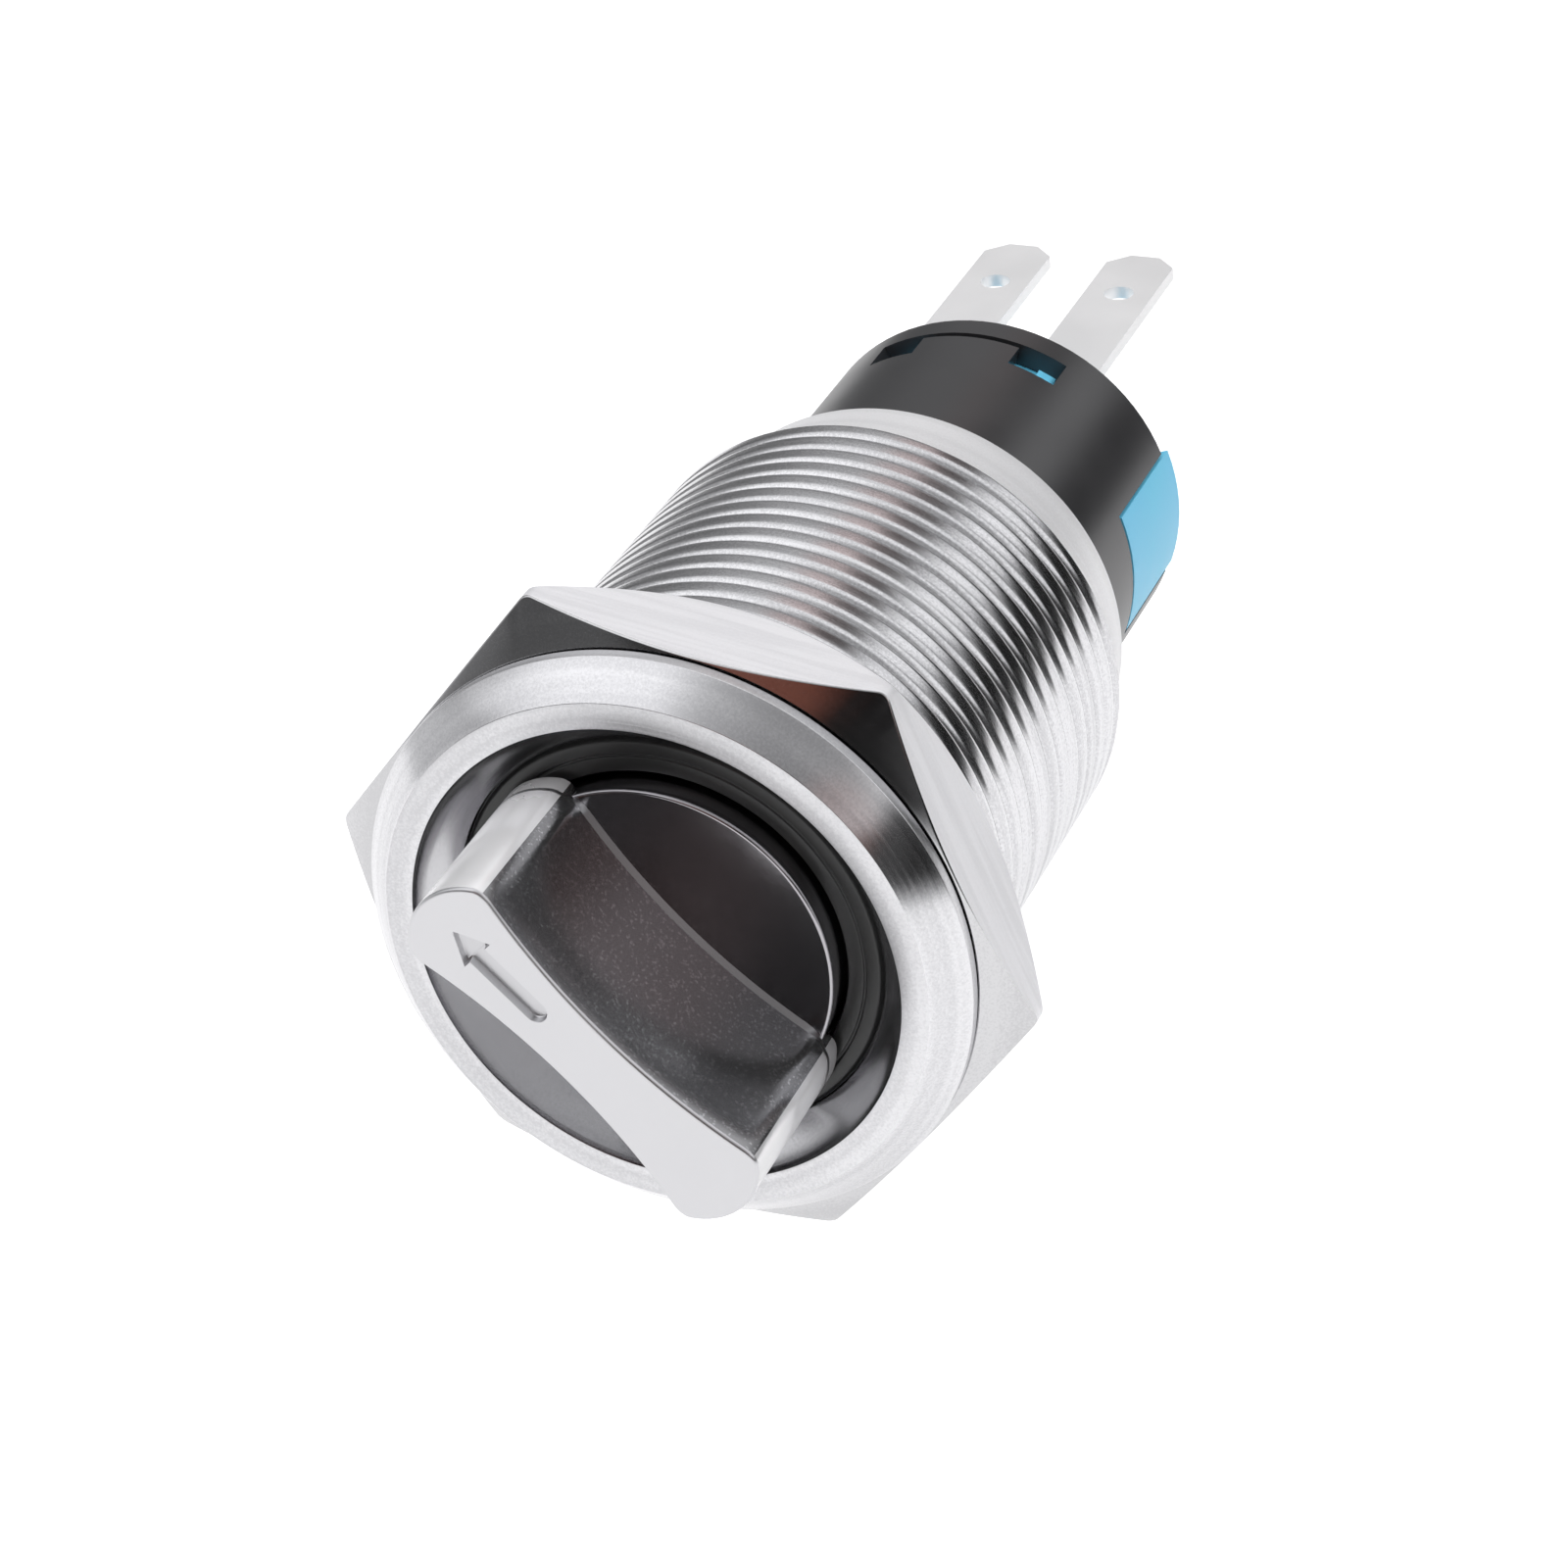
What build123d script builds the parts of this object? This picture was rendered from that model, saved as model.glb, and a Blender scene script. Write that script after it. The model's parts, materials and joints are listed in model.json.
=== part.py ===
from build123d import *
from math import atan, cos, degrees, pi, radians, sin, tan
import os

# Rotary selector switch for a 19 mm panel hole. Millimetres.
# The axis lies along Y, the knob faces -Y and +Z is up.
# The origin is on the axis, in the plane where the flange meets the panel.

# Clearances
press_gap = 0.02
running_gap = 0.05
guide_gap = 0.04
turning_gap = 0.3
contact_clearance = 0.06

# Threaded barrel and its flange
thread_d = 19.0
thread_length = 19.2
barrel_length = 22.8
end_land_front_d = 18.0
end_land_d = 16.9
end_land_bevel = 0.25
cavity_d = 16.0
lip_thickness = 0.6
web_thickness = 3.0
flange_thickness = 1.6
flange_bevel_depth = 1.16
flange_bevel_width = 1.125
face_width = 0.975
bowl_flare = 1.1
bowl_depth = 1.5
bowl_sag = 0.16

# Seal between the flange and the panel
seal_groove_width = 1.1
seal_groove_depth = 0.6
seal_proud = 0.06
seal_corner = 0.2

# Hexagonal nut
nut_across_flats = 22.0
nut_thickness = 3.5
nut_gap = 0.1
nut_front_bevel_angle = 30.0
nut_rear_bevel_angle = 48.0
nut_front_bevel_depth = 1.2
nut_corner_radius = 0.5
nut_turn = 8.95
nut_mouth_bevel = 0.3

# Black ring in the bottom of the bowl
insert_width = 1.35
insert_thickness = 1.5
insert_edge = 0.15

# Knob: a disc with a waisted bar across it, and a stem behind
knob_disc_d = 12.4
knob_disc_front = 1.04
knob_disc_back = 1.1
disc_rim_bevel = 0.12
bar_length = 14.4
bar_corner_span = 12.3
bar_waist = 2.54
bar_corner_width = 4.14
bar_front = 7.43
bar_edge_bevel = 0.12
bar_foot_bevel = 0.3
bar_underside_gap = 0.25
rest_turn = 45.0
travel_turn = 90.0
arrow_tip = 5.85
arrow_head_length = 1.15
arrow_head_width = 1.45
arrow_shaft_width = 0.62
arrow_shaft_end = 1.9
arrow_depth = 0.25
stem_d = 5.0
stem_end = 8.7
stem_flat = 1.8
flat_start = 5.6
screw_hole_depth = 3.4

# Stem seal, washer and clip
stem_seal_section = 0.75
stem_seal_place = 2.5
stem_seal_squeeze = 0.02
washer_d = 8.0
washer_thickness = 0.35
clip_groove_d = 3.8
clip_d = 7.4
clip_thickness = 0.45
clip_opening = 3.0

# Index plate with the notches for the two balls
index_plate_inner_d = 8.6
index_plate_thickness = 1.0
notch_circle_d = 10.8
notch_depth = 0.3
notch_count = 4
ball_d = 2.0
ball_clearance = 0.05

# Rotor, with a slanted rear face that drives the plunger
rotor_wall_gap = 0.6
rotor_front_gap = 0.35
cam_middle = 10.0
plunger_travel = 1.0
ball_pocket_floor = 9.0
screw_head_seat = 9.3

# Rotor screw
screw_d = 2.0
screw_head_d = 3.8
screw_head_height = 1.0
screw_drive_width = 0.5
screw_drive_depth = 0.5

# Plunger
plunger_d = 2.0
plunger_contact_gap = 0.2
plunger_collar_d = 3.6
plunger_collar_height = 0.6
plunger_collar_set_back = 0.32

# Springs
wire_sides = 6
detent_wire = 0.25
detent_coil_d = 1.3
detent_coils = 4
plunger_wire = 0.3
plunger_coil_d = 2.9
plunger_coils = 5
lever_wire = 0.25
lever_coil_d = 2.4
lever_coils = 6

# Rear housing
housing_d = 14.8
housing_front = 12.9
housing_rear = 32.8
housing_rear_bevel = 0.3
front_wall_thickness = 3.5
spring_pocket_d = 4.2
spring_pocket_depth = 2.1
chamber_d = 12.8
base_step = 0.15
window_centre_turn = 22.5
window_span_turn = 14.8
window_front = 29.8
window_rear = 31.4
slot_width = 0.3
notch_half_turn = 20.0
side_notch_front = 27.3

# Terminal base, which plugs into the housing from behind
base_front = 22.6
base_rear = 33.1
ear_gap = 0.15
hook_inner_turn = 23.5
hook_outer_turn = 29.4
hook_front = 29.9
hook_length = 0.8
hook_height = 0.6
spring_seat_depth = 1.2

# Contact lever and its spring
lever_thickness = 0.3
lever_front = 18.3
lever_width = 2.0
lever_foot_width = 3.0
lever_pivot_inset = 1.5
lever_bead_d = 1.0
bead_gap = 0.05
lever_spring_nub_d = 1.6
lever_spring_nub_height = 0.4

# Contacts
contact_wall_gap = 0.6
contact_d = 1.6
contact_thickness = 0.35

# Terminals
blade_thickness = 0.5
blade_width = 2.8
blade_inner_width = 1.8
blade_tip = 44.4
blade_hole_d = 1.2
blade_hole_set_back = 3.5
blade_tip_bevel = 0.8
upper_blade_offset = 2.6
upper_blade_inset = 1.7
lower_blade_inset = 1.5
tab_reach = 0.9
tab_wall_gap = 0.2
cradle_thickness = 0.6

# Values worked out from the sizes above
bowl_floor_d = knob_disc_d + turning_gap + 2 * insert_width
bowl_mouth_d = bowl_floor_d + 2 * bowl_flare
face_outer_d = bowl_mouth_d + 2 * face_width
flange_d = face_outer_d + 2 * flange_bevel_width
rotor_d = cavity_d - 2 * rotor_wall_gap
housing_shoulder_d = cavity_d - 2 * running_gap
front_face = -flange_thickness
bowl_floor = front_face + bowl_depth
web_front = bowl_floor + insert_thickness
web_rear = web_front + web_thickness
thread_r = thread_d / 2
index_plate_rear = web_rear + index_plate_thickness
rotor_front = index_plate_rear + rotor_front_gap
ball_front = index_plate_rear + ball_clearance
contact_height = chamber_d / 2 - contact_wall_gap - contact_d / 2
plunger_offset = contact_height - (contact_d + plunger_d) / 2 - plunger_contact_gap
cam_swing = plunger_travel / (2 * sin(radians(travel_turn / 2)))
cam_slope = atan(cam_swing / plunger_offset)
cam_high_turn = -(90 + travel_turn / 2)
cam_at_rest = cam_middle - plunger_travel / 2
nose_centre = cam_at_rest + plunger_d / 2 / cos(cam_slope) + contact_clearance
plunger_rear = lever_front - contact_clearance
collar_front = nose_centre + plunger_collar_set_back
chamber_front = housing_front + front_wall_thickness
lever_top = contact_height + contact_d / 2
lever_pivot_drop = chamber_d / 2 - lever_pivot_inset
upper_blade_height = chamber_d / 2 - upper_blade_inset
lower_blade_drop = chamber_d / 2 - lower_blade_inset
tab_corner_d = chamber_d - 2 * tab_wall_gap
base_bore_d = chamber_d + 2 * base_step
lever_rear = lever_front + lever_thickness
lever_pivot_y = lever_front + lever_thickness / 2
lever_swing = plunger_travel / (plunger_offset + lever_pivot_drop)
nc_contact_rear = lever_front - contact_thickness - contact_clearance
contact_sweep = (contact_height + contact_d / 2 + lever_pivot_drop) * tan(lever_swing)
no_contact_front = lever_rear + contact_thickness + contact_sweep + contact_clearance


def front_plane(y):
    """Plane across the axis at y, seen from the front, with X right and Z up."""
    return Plane.XZ.offset(-y)


def prism(outline, y_front, y_rear):
    """Straight solid on an outline, from y_front to y_rear."""
    return extrude(front_plane(y_rear) * outline, amount=y_rear - y_front)


def turned(*points):
    """Solid turned about the Y axis from (radius, y) points."""
    return revolve(make_face(Polyline(*points, close=True)), axis=Axis.Y)


def tube(outer_d, inner_d, y_front, y_rear):
    """Plain ring about the Y axis."""
    outer = outer_d / 2
    inner = inner_d / 2
    return turned((inner, y_front), (outer, y_front), (outer, y_rear), (inner, y_rear))


def rod(diameter, y_front, y_rear):
    """Plain cylinder about the Y axis."""
    return prism(Circle(diameter / 2), y_front, y_rear)


def block(x_span, y_span, z_span):
    """Box between two values on each axis."""
    size = [high - low for low, high in (x_span, y_span, z_span)]
    centre = [(high + low) / 2 for low, high in (x_span, y_span, z_span)]
    return Pos(*centre) * Box(*size)


def sector(radius, low_turn, high_turn):
    """Pie slice between two angles counted clockwise from the top, seen from the front."""
    low = 90 - high_turn
    start = (radius * cos(radians(low)), radius * sin(radians(low)))
    arc = CenterArc((0, 0), radius, low, high_turn - low_turn)
    return make_face([arc, Line((0, 0), start), Line((0, 0), arc @ 1)])


def coil(mean_d, wire, turns, y_front, y_rear):
    """Compression spring about the Y axis, between two seats."""
    height = y_rear - y_front - wire
    path = Helix(height / turns, height, mean_d / 2, center=(0, y_front + wire / 2, 0), direction=(0, 1, 0))
    section = Plane(origin=path @ 0, z_dir=path % 0) * RegularPolygon(wire / 2, wire_sides)
    return sweep(section, path=path, is_frenet=True)


def clockwise(turn):
    """Turn about the axis, clockwise as seen from the front."""
    return Rot(0, turn, 0)


# Bezel: flange, bowl and threaded barrel in one turned piece
def make_bezel_body():
    mouth = bowl_mouth_d / 2
    floor = bowl_floor_d / 2
    slope = Vector(floor - mouth, bowl_depth)
    outward = Vector(bowl_depth, mouth - floor) * (bowl_sag / slope.length)
    middle = Vector((mouth + floor) / 2, front_face + bowl_depth / 2) + outward
    bowl = ThreePointArc((floor, bowl_floor), middle, (mouth, front_face))
    outline = Polyline(
        (mouth, front_face),
        (face_outer_d / 2, front_face),
        (flange_d / 2, front_face + flange_bevel_depth),
        (flange_d / 2, 0),
        (thread_r, 0),
        (thread_r, thread_length),
        (end_land_front_d / 2, thread_length + thread_r - end_land_front_d / 2),
        (end_land_d / 2, barrel_length - end_land_bevel),
        (end_land_d / 2 - end_land_bevel, barrel_length),
        (housing_d / 2 + running_gap, barrel_length),
        (housing_d / 2 + running_gap, barrel_length - lip_thickness),
        (cavity_d / 2, barrel_length - lip_thickness),
        (cavity_d / 2, web_rear),
        (stem_d / 2 + running_gap, web_rear),
        (stem_d / 2 + running_gap, web_front),
        (floor, web_front),
        (floor, bowl_floor),
    )
    body = revolve(make_face([outline, bowl]), axis=Axis.Y)
    groove = tube(thread_d + 2 * seal_groove_width, thread_d, -seal_groove_depth, 0)
    return body - groove


def make_flange_seal():
    inner = thread_r + press_gap
    outer = thread_r + seal_groove_width - press_gap
    section = Rectangle(outer - inner, seal_groove_depth - press_gap + seal_proud)
    section = chamfer(section.vertices(), seal_corner)
    middle = Vector((inner + outer) / 2, (seal_proud + press_gap - seal_groove_depth) / 2)
    return revolve(Pos(middle) * section, axis=Axis.Y)


def make_hex_nut():
    rear = nut_gap + nut_thickness
    hexagon = RegularPolygon(nut_across_flats / 2, 6, major_radius=False)
    hexagon = fillet(hexagon.vertices(), nut_corner_radius)
    blank = clockwise(nut_turn) * prism(hexagon, nut_gap, rear)
    flat_r = nut_across_flats / 2
    rim_y = nut_gap + nut_front_bevel_depth
    rim_r = flat_r + nut_front_bevel_depth / tan(radians(nut_front_bevel_angle))
    rear_rise = (rim_r - flat_r) * tan(radians(nut_rear_bevel_angle))
    bevels = turned(
        (0, nut_gap),
        (flat_r, nut_gap),
        (rim_r, rim_y),
        (rim_r, rear - rear_rise),
        (flat_r, rear),
        (0, rear),
    )
    bore_r = thread_r + running_gap
    bore = turned(
        (0, nut_gap),
        (bore_r + nut_mouth_bevel, nut_gap),
        (bore_r, nut_gap + nut_mouth_bevel),
        (bore_r, rear - nut_mouth_bevel),
        (bore_r + nut_mouth_bevel, rear),
        (0, rear),
    )
    return (blank & bevels) - bore


# Black ring pressed into the bottom of the bowl
def make_ring_insert():
    outer = bowl_floor_d / 2 - press_gap
    inner = knob_disc_d / 2 + turning_gap / 2
    return turned(
        (inner + insert_edge, bowl_floor),
        (outer - insert_edge, bowl_floor),
        (outer, bowl_floor + insert_edge),
        (outer, web_front),
        (inner, web_front),
        (inner, bowl_floor + insert_edge),
    )


# Knob
def bar_outline():
    waist = bar_waist / 2
    corner = bar_corner_width / 2
    half_span = bar_corner_span / 2
    half_length = bar_length / 2
    return make_face([
        ThreePointArc((corner, -half_span), (waist, 0), (corner, half_span)),
        ThreePointArc((corner, half_span), (0, half_length), (-corner, half_span)),
        ThreePointArc((-corner, half_span), (-waist, 0), (-corner, -half_span)),
        ThreePointArc((-corner, -half_span), (0, -half_length), (corner, -half_span)),
    ])


def arrow_outline():
    shoulder = arrow_tip - arrow_head_length
    half_head = arrow_head_width / 2
    head = make_face(Polyline((0, arrow_tip), (half_head, shoulder), (-half_head, shoulder), close=True))
    shaft_length = shoulder - arrow_shaft_end
    shaft = Pos(0, (shoulder + arrow_shaft_end) / 2) * Rectangle(arrow_shaft_width, shaft_length)
    tail = Pos(0, arrow_shaft_end) * Circle(arrow_shaft_width / 2)
    return head + shaft + tail


def flatted_round(diameter, flat):
    """Round section with one flat, at the given distance from the centre."""
    keep = Pos(0, flat - diameter / 2) * Rectangle(diameter, diameter)
    return Circle(diameter / 2) & keep


def make_knob():
    bar = prism(bar_outline(), -bar_front, bowl_floor - bar_underside_gap)
    bar = chamfer(bar.faces().sort_by(Axis.Y)[0].edges(), bar_edge_bevel)
    disc_r = knob_disc_d / 2
    disc = turned(
        (0, -knob_disc_front),
        (disc_r - disc_rim_bevel, -knob_disc_front),
        (disc_r, disc_rim_bevel - knob_disc_front),
        (disc_r, knob_disc_back),
        (0, knob_disc_back),
    )
    head = bar + disc
    foot = head.edges().filter_by_position(Axis.Y, -knob_disc_front, -knob_disc_front)
    foot = foot.filter_by(lambda edge: edge.length > bar_corner_span / 2 and edge.center().length < disc_r / 2)
    head = chamfer(foot, bar_foot_bevel)
    stem = rod(stem_d, knob_disc_back, flat_start)
    stem += prism(flatted_round(stem_d, stem_flat), flat_start, stem_end)
    seal_groove = tube(
        stem_d + 2 * running_gap,
        stem_d - 2 * stem_seal_section,
        stem_seal_place - stem_seal_section / 2 - press_gap,
        stem_seal_place + stem_seal_section / 2 + press_gap,
    )
    clip_groove = tube(
        stem_d + 2 * running_gap,
        clip_groove_d,
        clip_front() - press_gap,
        clip_front() + clip_thickness + press_gap,
    )
    screw_hole = rod(screw_d, stem_end - screw_hole_depth, stem_end)
    arrow = prism(arrow_outline(), -bar_front, arrow_depth - bar_front)
    knob = head + stem - seal_groove - clip_groove - screw_hole - arrow
    return clockwise(-rest_turn) * knob


def clip_front():
    """Front face of the clip, behind the washer."""
    return web_rear + washer_thickness + running_gap


def make_stem_seal():
    middle = (stem_d - stem_seal_section) / 2 + stem_seal_squeeze
    return revolve(Pos(middle, stem_seal_place) * Circle(stem_seal_section / 2), axis=Axis.Y)


def make_thrust_washer():
    return tube(washer_d, stem_d + 2 * running_gap, web_rear, web_rear + washer_thickness)


def make_stem_clip():
    ring = tube(clip_d, clip_groove_d + 2 * press_gap, clip_front(), clip_front() + clip_thickness)
    y_span = (clip_front(), clip_front() + clip_thickness)
    opening = block((-clip_opening / 2, clip_opening / 2), y_span, (-clip_d, 0))
    return clockwise(-rest_turn) * (ring - opening)


# Index plate and balls
def ball_places():
    """Turns of the two balls, in line with the bar at rest."""
    return (-rest_turn, 180 - rest_turn)


def make_index_plate():
    plate = tube(cavity_d - 2 * press_gap, index_plate_inner_d, web_rear, index_plate_rear)
    half_width = (ball_d * notch_depth - notch_depth**2) ** 0.5
    notch = Pos(0, index_plate_rear, 0) * turned((0, 0), (half_width, 0), (0, -notch_depth))
    for index in range(notch_count):
        turn = 360 * index / notch_count - rest_turn
        plate -= clockwise(turn) * Pos(0, 0, notch_circle_d / 2) * notch
    return plate


def make_detent_ball(turn):
    centre = Pos(0, ball_front + ball_d / 2, notch_circle_d / 2)
    return clockwise(turn) * centre * Sphere(ball_d / 2)


def make_detent_spring(turn):
    spring = coil(detent_coil_d, detent_wire, detent_coils, ball_front + ball_d, ball_pocket_floor)
    return clockwise(turn) * Pos(0, 0, notch_circle_d / 2) * spring


# Rotor on the stem's flat, with its slanted cam face at the rear
def make_rotor():
    rotor = rod(rotor_d, rotor_front, cam_middle + rotor_d)
    rise = tan(cam_slope)
    high = Vector(sin(radians(cam_high_turn)), 0, cos(radians(cam_high_turn)))
    cam_plane = Plane(origin=(0, cam_middle, 0), z_dir=Vector(0, 1, 0) - high * rise)
    rotor = split(rotor, bisect_by=cam_plane, keep=Keep.BOTTOM)
    bore = flatted_round(stem_d + 2 * press_gap, stem_flat + press_gap)
    rotor -= clockwise(-rest_turn) * prism(bore, rotor_front, stem_end + press_gap)
    rotor -= rod(screw_d + 2 * running_gap, stem_end, cam_middle + rotor_d)
    rotor -= rod(screw_head_d + 2 * running_gap, screw_head_seat, cam_middle + rotor_d)
    pocket = Pos(0, 0, notch_circle_d / 2) * rod(ball_d + 2 * running_gap, rotor_front, ball_pocket_floor)
    for turn in ball_places():
        rotor -= clockwise(turn) * pocket
    return rotor


def make_rotor_screw():
    head_rear = screw_head_seat + screw_head_height
    screw = rod(screw_head_d, screw_head_seat, head_rear)
    screw += rod(screw_d - 2 * press_gap, stem_end - screw_hole_depth + running_gap, screw_head_seat)
    half_drive = screw_drive_width / 2
    drive = block(
        (-half_drive, half_drive),
        (head_rear - screw_drive_depth, head_rear),
        (-screw_head_d, screw_head_d),
    )
    return screw - drive


# Plunger with a domed nose on the cam and a domed tail on the lever
def make_plunger():
    radius = plunger_d / 2
    tail_centre = plunger_rear - radius
    dome_side = radius * cos(pi / 4)
    collar_r = plunger_collar_d / 2
    nose_front = nose_centre - radius
    nose = ThreePointArc((0, nose_front), (dome_side, nose_centre - dome_side), (radius, nose_centre))
    tail = ThreePointArc((radius, tail_centre), (dome_side, tail_centre + dome_side), (0, plunger_rear))
    side = Polyline(
        (radius, nose_centre),
        (radius, collar_front),
        (collar_r, collar_front),
        (collar_r, collar_front + plunger_collar_height),
        (radius, collar_front + plunger_collar_height),
        (radius, tail_centre),
    )
    core = Line((0, plunger_rear), (0, nose_front))
    plunger = revolve(make_face([nose, side, tail, core]), axis=Axis.Y)
    return Pos(0, 0, plunger_offset) * plunger


def make_plunger_spring():
    seat = housing_front + spring_pocket_depth
    spring = coil(plunger_coil_d, plunger_wire, plunger_coils, collar_front + plunger_collar_height, seat)
    return Pos(0, 0, plunger_offset) * spring


# Rear housing
def make_rear_housing():
    shoulder_rear = barrel_length - lip_thickness - running_gap
    outer_r = housing_d / 2
    housing = turned(
        (0, housing_front),
        (housing_shoulder_d / 2, housing_front),
        (housing_shoulder_d / 2, shoulder_rear),
        (outer_r, shoulder_rear),
        (outer_r, housing_rear - housing_rear_bevel),
        (outer_r - housing_rear_bevel, housing_rear),
        (0, housing_rear),
    )
    housing -= rod(chamber_d, chamber_front, base_front)
    housing -= rod(base_bore_d, base_front, housing_rear)
    housing += foot_stop()
    plunger_axis = Pos(0, 0, plunger_offset)
    housing -= plunger_axis * rod(spring_pocket_d, housing_front, housing_front + spring_pocket_depth)
    housing -= plunger_axis * rod(plunger_d + 2 * guide_gap, housing_front, chamber_front)
    for half_turn in (0, 180):
        for side in (-1, 1):
            centre = half_turn + side * window_centre_turn
            window = sector(housing_d, centre - window_span_turn / 2, centre + window_span_turn / 2)
            housing -= prism(window, window_front, window_rear) - rod(base_bore_d, window_front, window_rear)
        slot = sector(housing_d, half_turn - window_centre_turn, half_turn + window_centre_turn)
        slot_front = window_rear - slot_width
        housing -= prism(slot, slot_front, window_rear) - rod(base_bore_d, slot_front, window_rear)
    for side_turn in (90, -90):
        notch = sector(housing_d, side_turn - notch_half_turn, side_turn + notch_half_turn)
        housing -= prism(notch, side_notch_front, housing_rear)
    return housing


def foot_stop():
    """Boss on the chamber's front wall that keeps the lever's foot in its cradle."""
    stop_rear = lever_pivot_y - lever_bead_d / 2 - bead_gap
    return block(
        (-lever_foot_width / 2, lever_foot_width / 2),
        (chamber_front, stop_rear),
        (-lever_pivot_drop - lever_bead_d / 2, -lever_pivot_drop + lever_bead_d / 2),
    )


# Terminal base
def make_terminal_base():
    core_d = base_bore_d - 2 * running_gap
    base = rod(core_d, base_front, base_rear)
    ear_half_turn = notch_half_turn - degrees(ear_gap / (housing_d / 2))
    for side_turn in (90, -90):
        ear = sector(housing_d / 2, side_turn - ear_half_turn, side_turn + ear_half_turn)
        base += prism(ear, side_notch_front + ear_gap, base_rear)
    for half_turn in (0, 180):
        base += clockwise(half_turn) * hook(core_d / 2)
    base -= rod(lever_coil_d + 2 * lever_wire + 2 * running_gap, base_front, base_front + spring_seat_depth)
    for x_place, z_place in blade_places():
        base -= block(
            (x_place - blade_inner_width / 2 - press_gap, x_place + blade_inner_width / 2 + press_gap),
            (base_front, base_rear),
            (z_place - blade_thickness / 2 - press_gap, z_place + blade_thickness / 2 + press_gap),
        )
    return base


def hook(root_r):
    """Snap hook that rises to the rear just behind the window's front edge."""
    hook_rear = hook_front + hook_length
    wedge = turned(
        (root_r - hook_height, hook_front),
        (root_r, hook_front),
        (root_r + hook_height, hook_rear),
        (root_r - hook_height, hook_rear),
    )
    return wedge & prism(sector(housing_d, hook_inner_turn, hook_outer_turn), hook_front, hook_rear)


def blade_places():
    """X and Z of the normally closed, normally open and common blades."""
    return (
        (-upper_blade_offset, upper_blade_height),
        (upper_blade_offset, upper_blade_height),
        (0, -lower_blade_drop),
    )


# Terminals
def blade(x_place, z_place, y_front):
    """Flat blade with a wire hole, narrow inside the base and wide behind it."""
    inner = blade_inner_width / 2
    outer = blade_width / 2
    shoulder = base_rear
    outline = make_face(Polyline(
        (-inner, y_front),
        (inner, y_front),
        (inner, shoulder),
        (outer, shoulder),
        (outer, blade_tip - blade_tip_bevel),
        (outer - blade_tip_bevel, blade_tip),
        (blade_tip_bevel - outer, blade_tip),
        (-outer, blade_tip - blade_tip_bevel),
        (-outer, shoulder),
        (-inner, shoulder),
        close=True,
    ))
    outline -= Pos(0, blade_tip - blade_hole_set_back) * Circle(blade_hole_d / 2)
    return Pos(x_place, 0, z_place - blade_thickness / 2) * extrude(outline, amount=blade_thickness)


def contact_tab(side, y_front):
    """Tab across the end of an upper blade that carries a fixed contact."""
    outer_edge = upper_blade_offset + blade_inner_width / 2
    x_span = sorted((-side * tab_reach, side * outer_edge))
    half_height = contact_d / 2
    plate = block(
        x_span,
        (y_front, y_front + blade_thickness),
        (contact_height - half_height, contact_height + half_height),
    )
    return plate & rod(tab_corner_d, y_front, y_front + blade_thickness)


def make_terminal_nc():
    tab_front = nc_contact_rear - contact_thickness - blade_thickness
    return blade(-upper_blade_offset, upper_blade_height, tab_front) + contact_tab(-1, tab_front)


def make_terminal_no():
    tab_front = no_contact_front + contact_thickness
    return blade(upper_blade_offset, upper_blade_height, tab_front) + contact_tab(1, tab_front)


def make_terminal_common():
    lean = lever_bead_d * tan(lever_swing)
    cradle_front = lever_rear + lean + contact_clearance
    cradle = block(
        (-blade_inner_width / 2, blade_inner_width / 2),
        (cradle_front, cradle_front + cradle_thickness),
        (-lever_pivot_drop - lever_bead_d, -lever_pivot_drop + lever_bead_d),
    )
    seat = Pos(0, lever_pivot_y, -lever_pivot_drop) * Rot(0, 90, 0)
    seat = seat * Cylinder(lever_bead_d / 2 + bead_gap, blade_width)
    return blade(0, -lower_blade_drop, cradle_front) + cradle - seat


# Contact lever, its rivet and its spring
def make_contact_lever():
    half = lever_width / 2
    half_foot = lever_foot_width / 2
    neck = plunger_offset - lever_pivot_drop / 2
    outline = make_face(Polyline(
        (-half_foot, -lever_pivot_drop),
        (half_foot, -lever_pivot_drop),
        (half, neck),
        (half, lever_top),
        (-half, lever_top),
        (-half, neck),
        close=True,
    ))
    lever = prism(outline, lever_front, lever_rear)
    foot = Pos(0, lever_pivot_y, -lever_pivot_drop) * Rot(0, 90, 0)
    lever += foot * Cylinder(lever_bead_d / 2, lever_foot_width)
    return lever + rod(lever_spring_nub_d, lever_rear, lever_rear + lever_spring_nub_height)


def contact_disc(y_front, y_rear):
    return Pos(0, 0, contact_height) * rod(contact_d, y_front, y_rear)


def make_moving_contact():
    front = contact_disc(lever_front - contact_thickness, lever_front)
    rear = contact_disc(lever_rear, lever_rear + contact_thickness)
    return front, rear


def make_fixed_contacts():
    closed = contact_disc(nc_contact_rear - contact_thickness, nc_contact_rear)
    opened = contact_disc(no_contact_front, no_contact_front + contact_thickness)
    return closed, opened


def make_lever_spring():
    return coil(lever_coil_d, lever_wire, lever_coils, lever_rear, base_front + spring_seat_depth)


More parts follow.
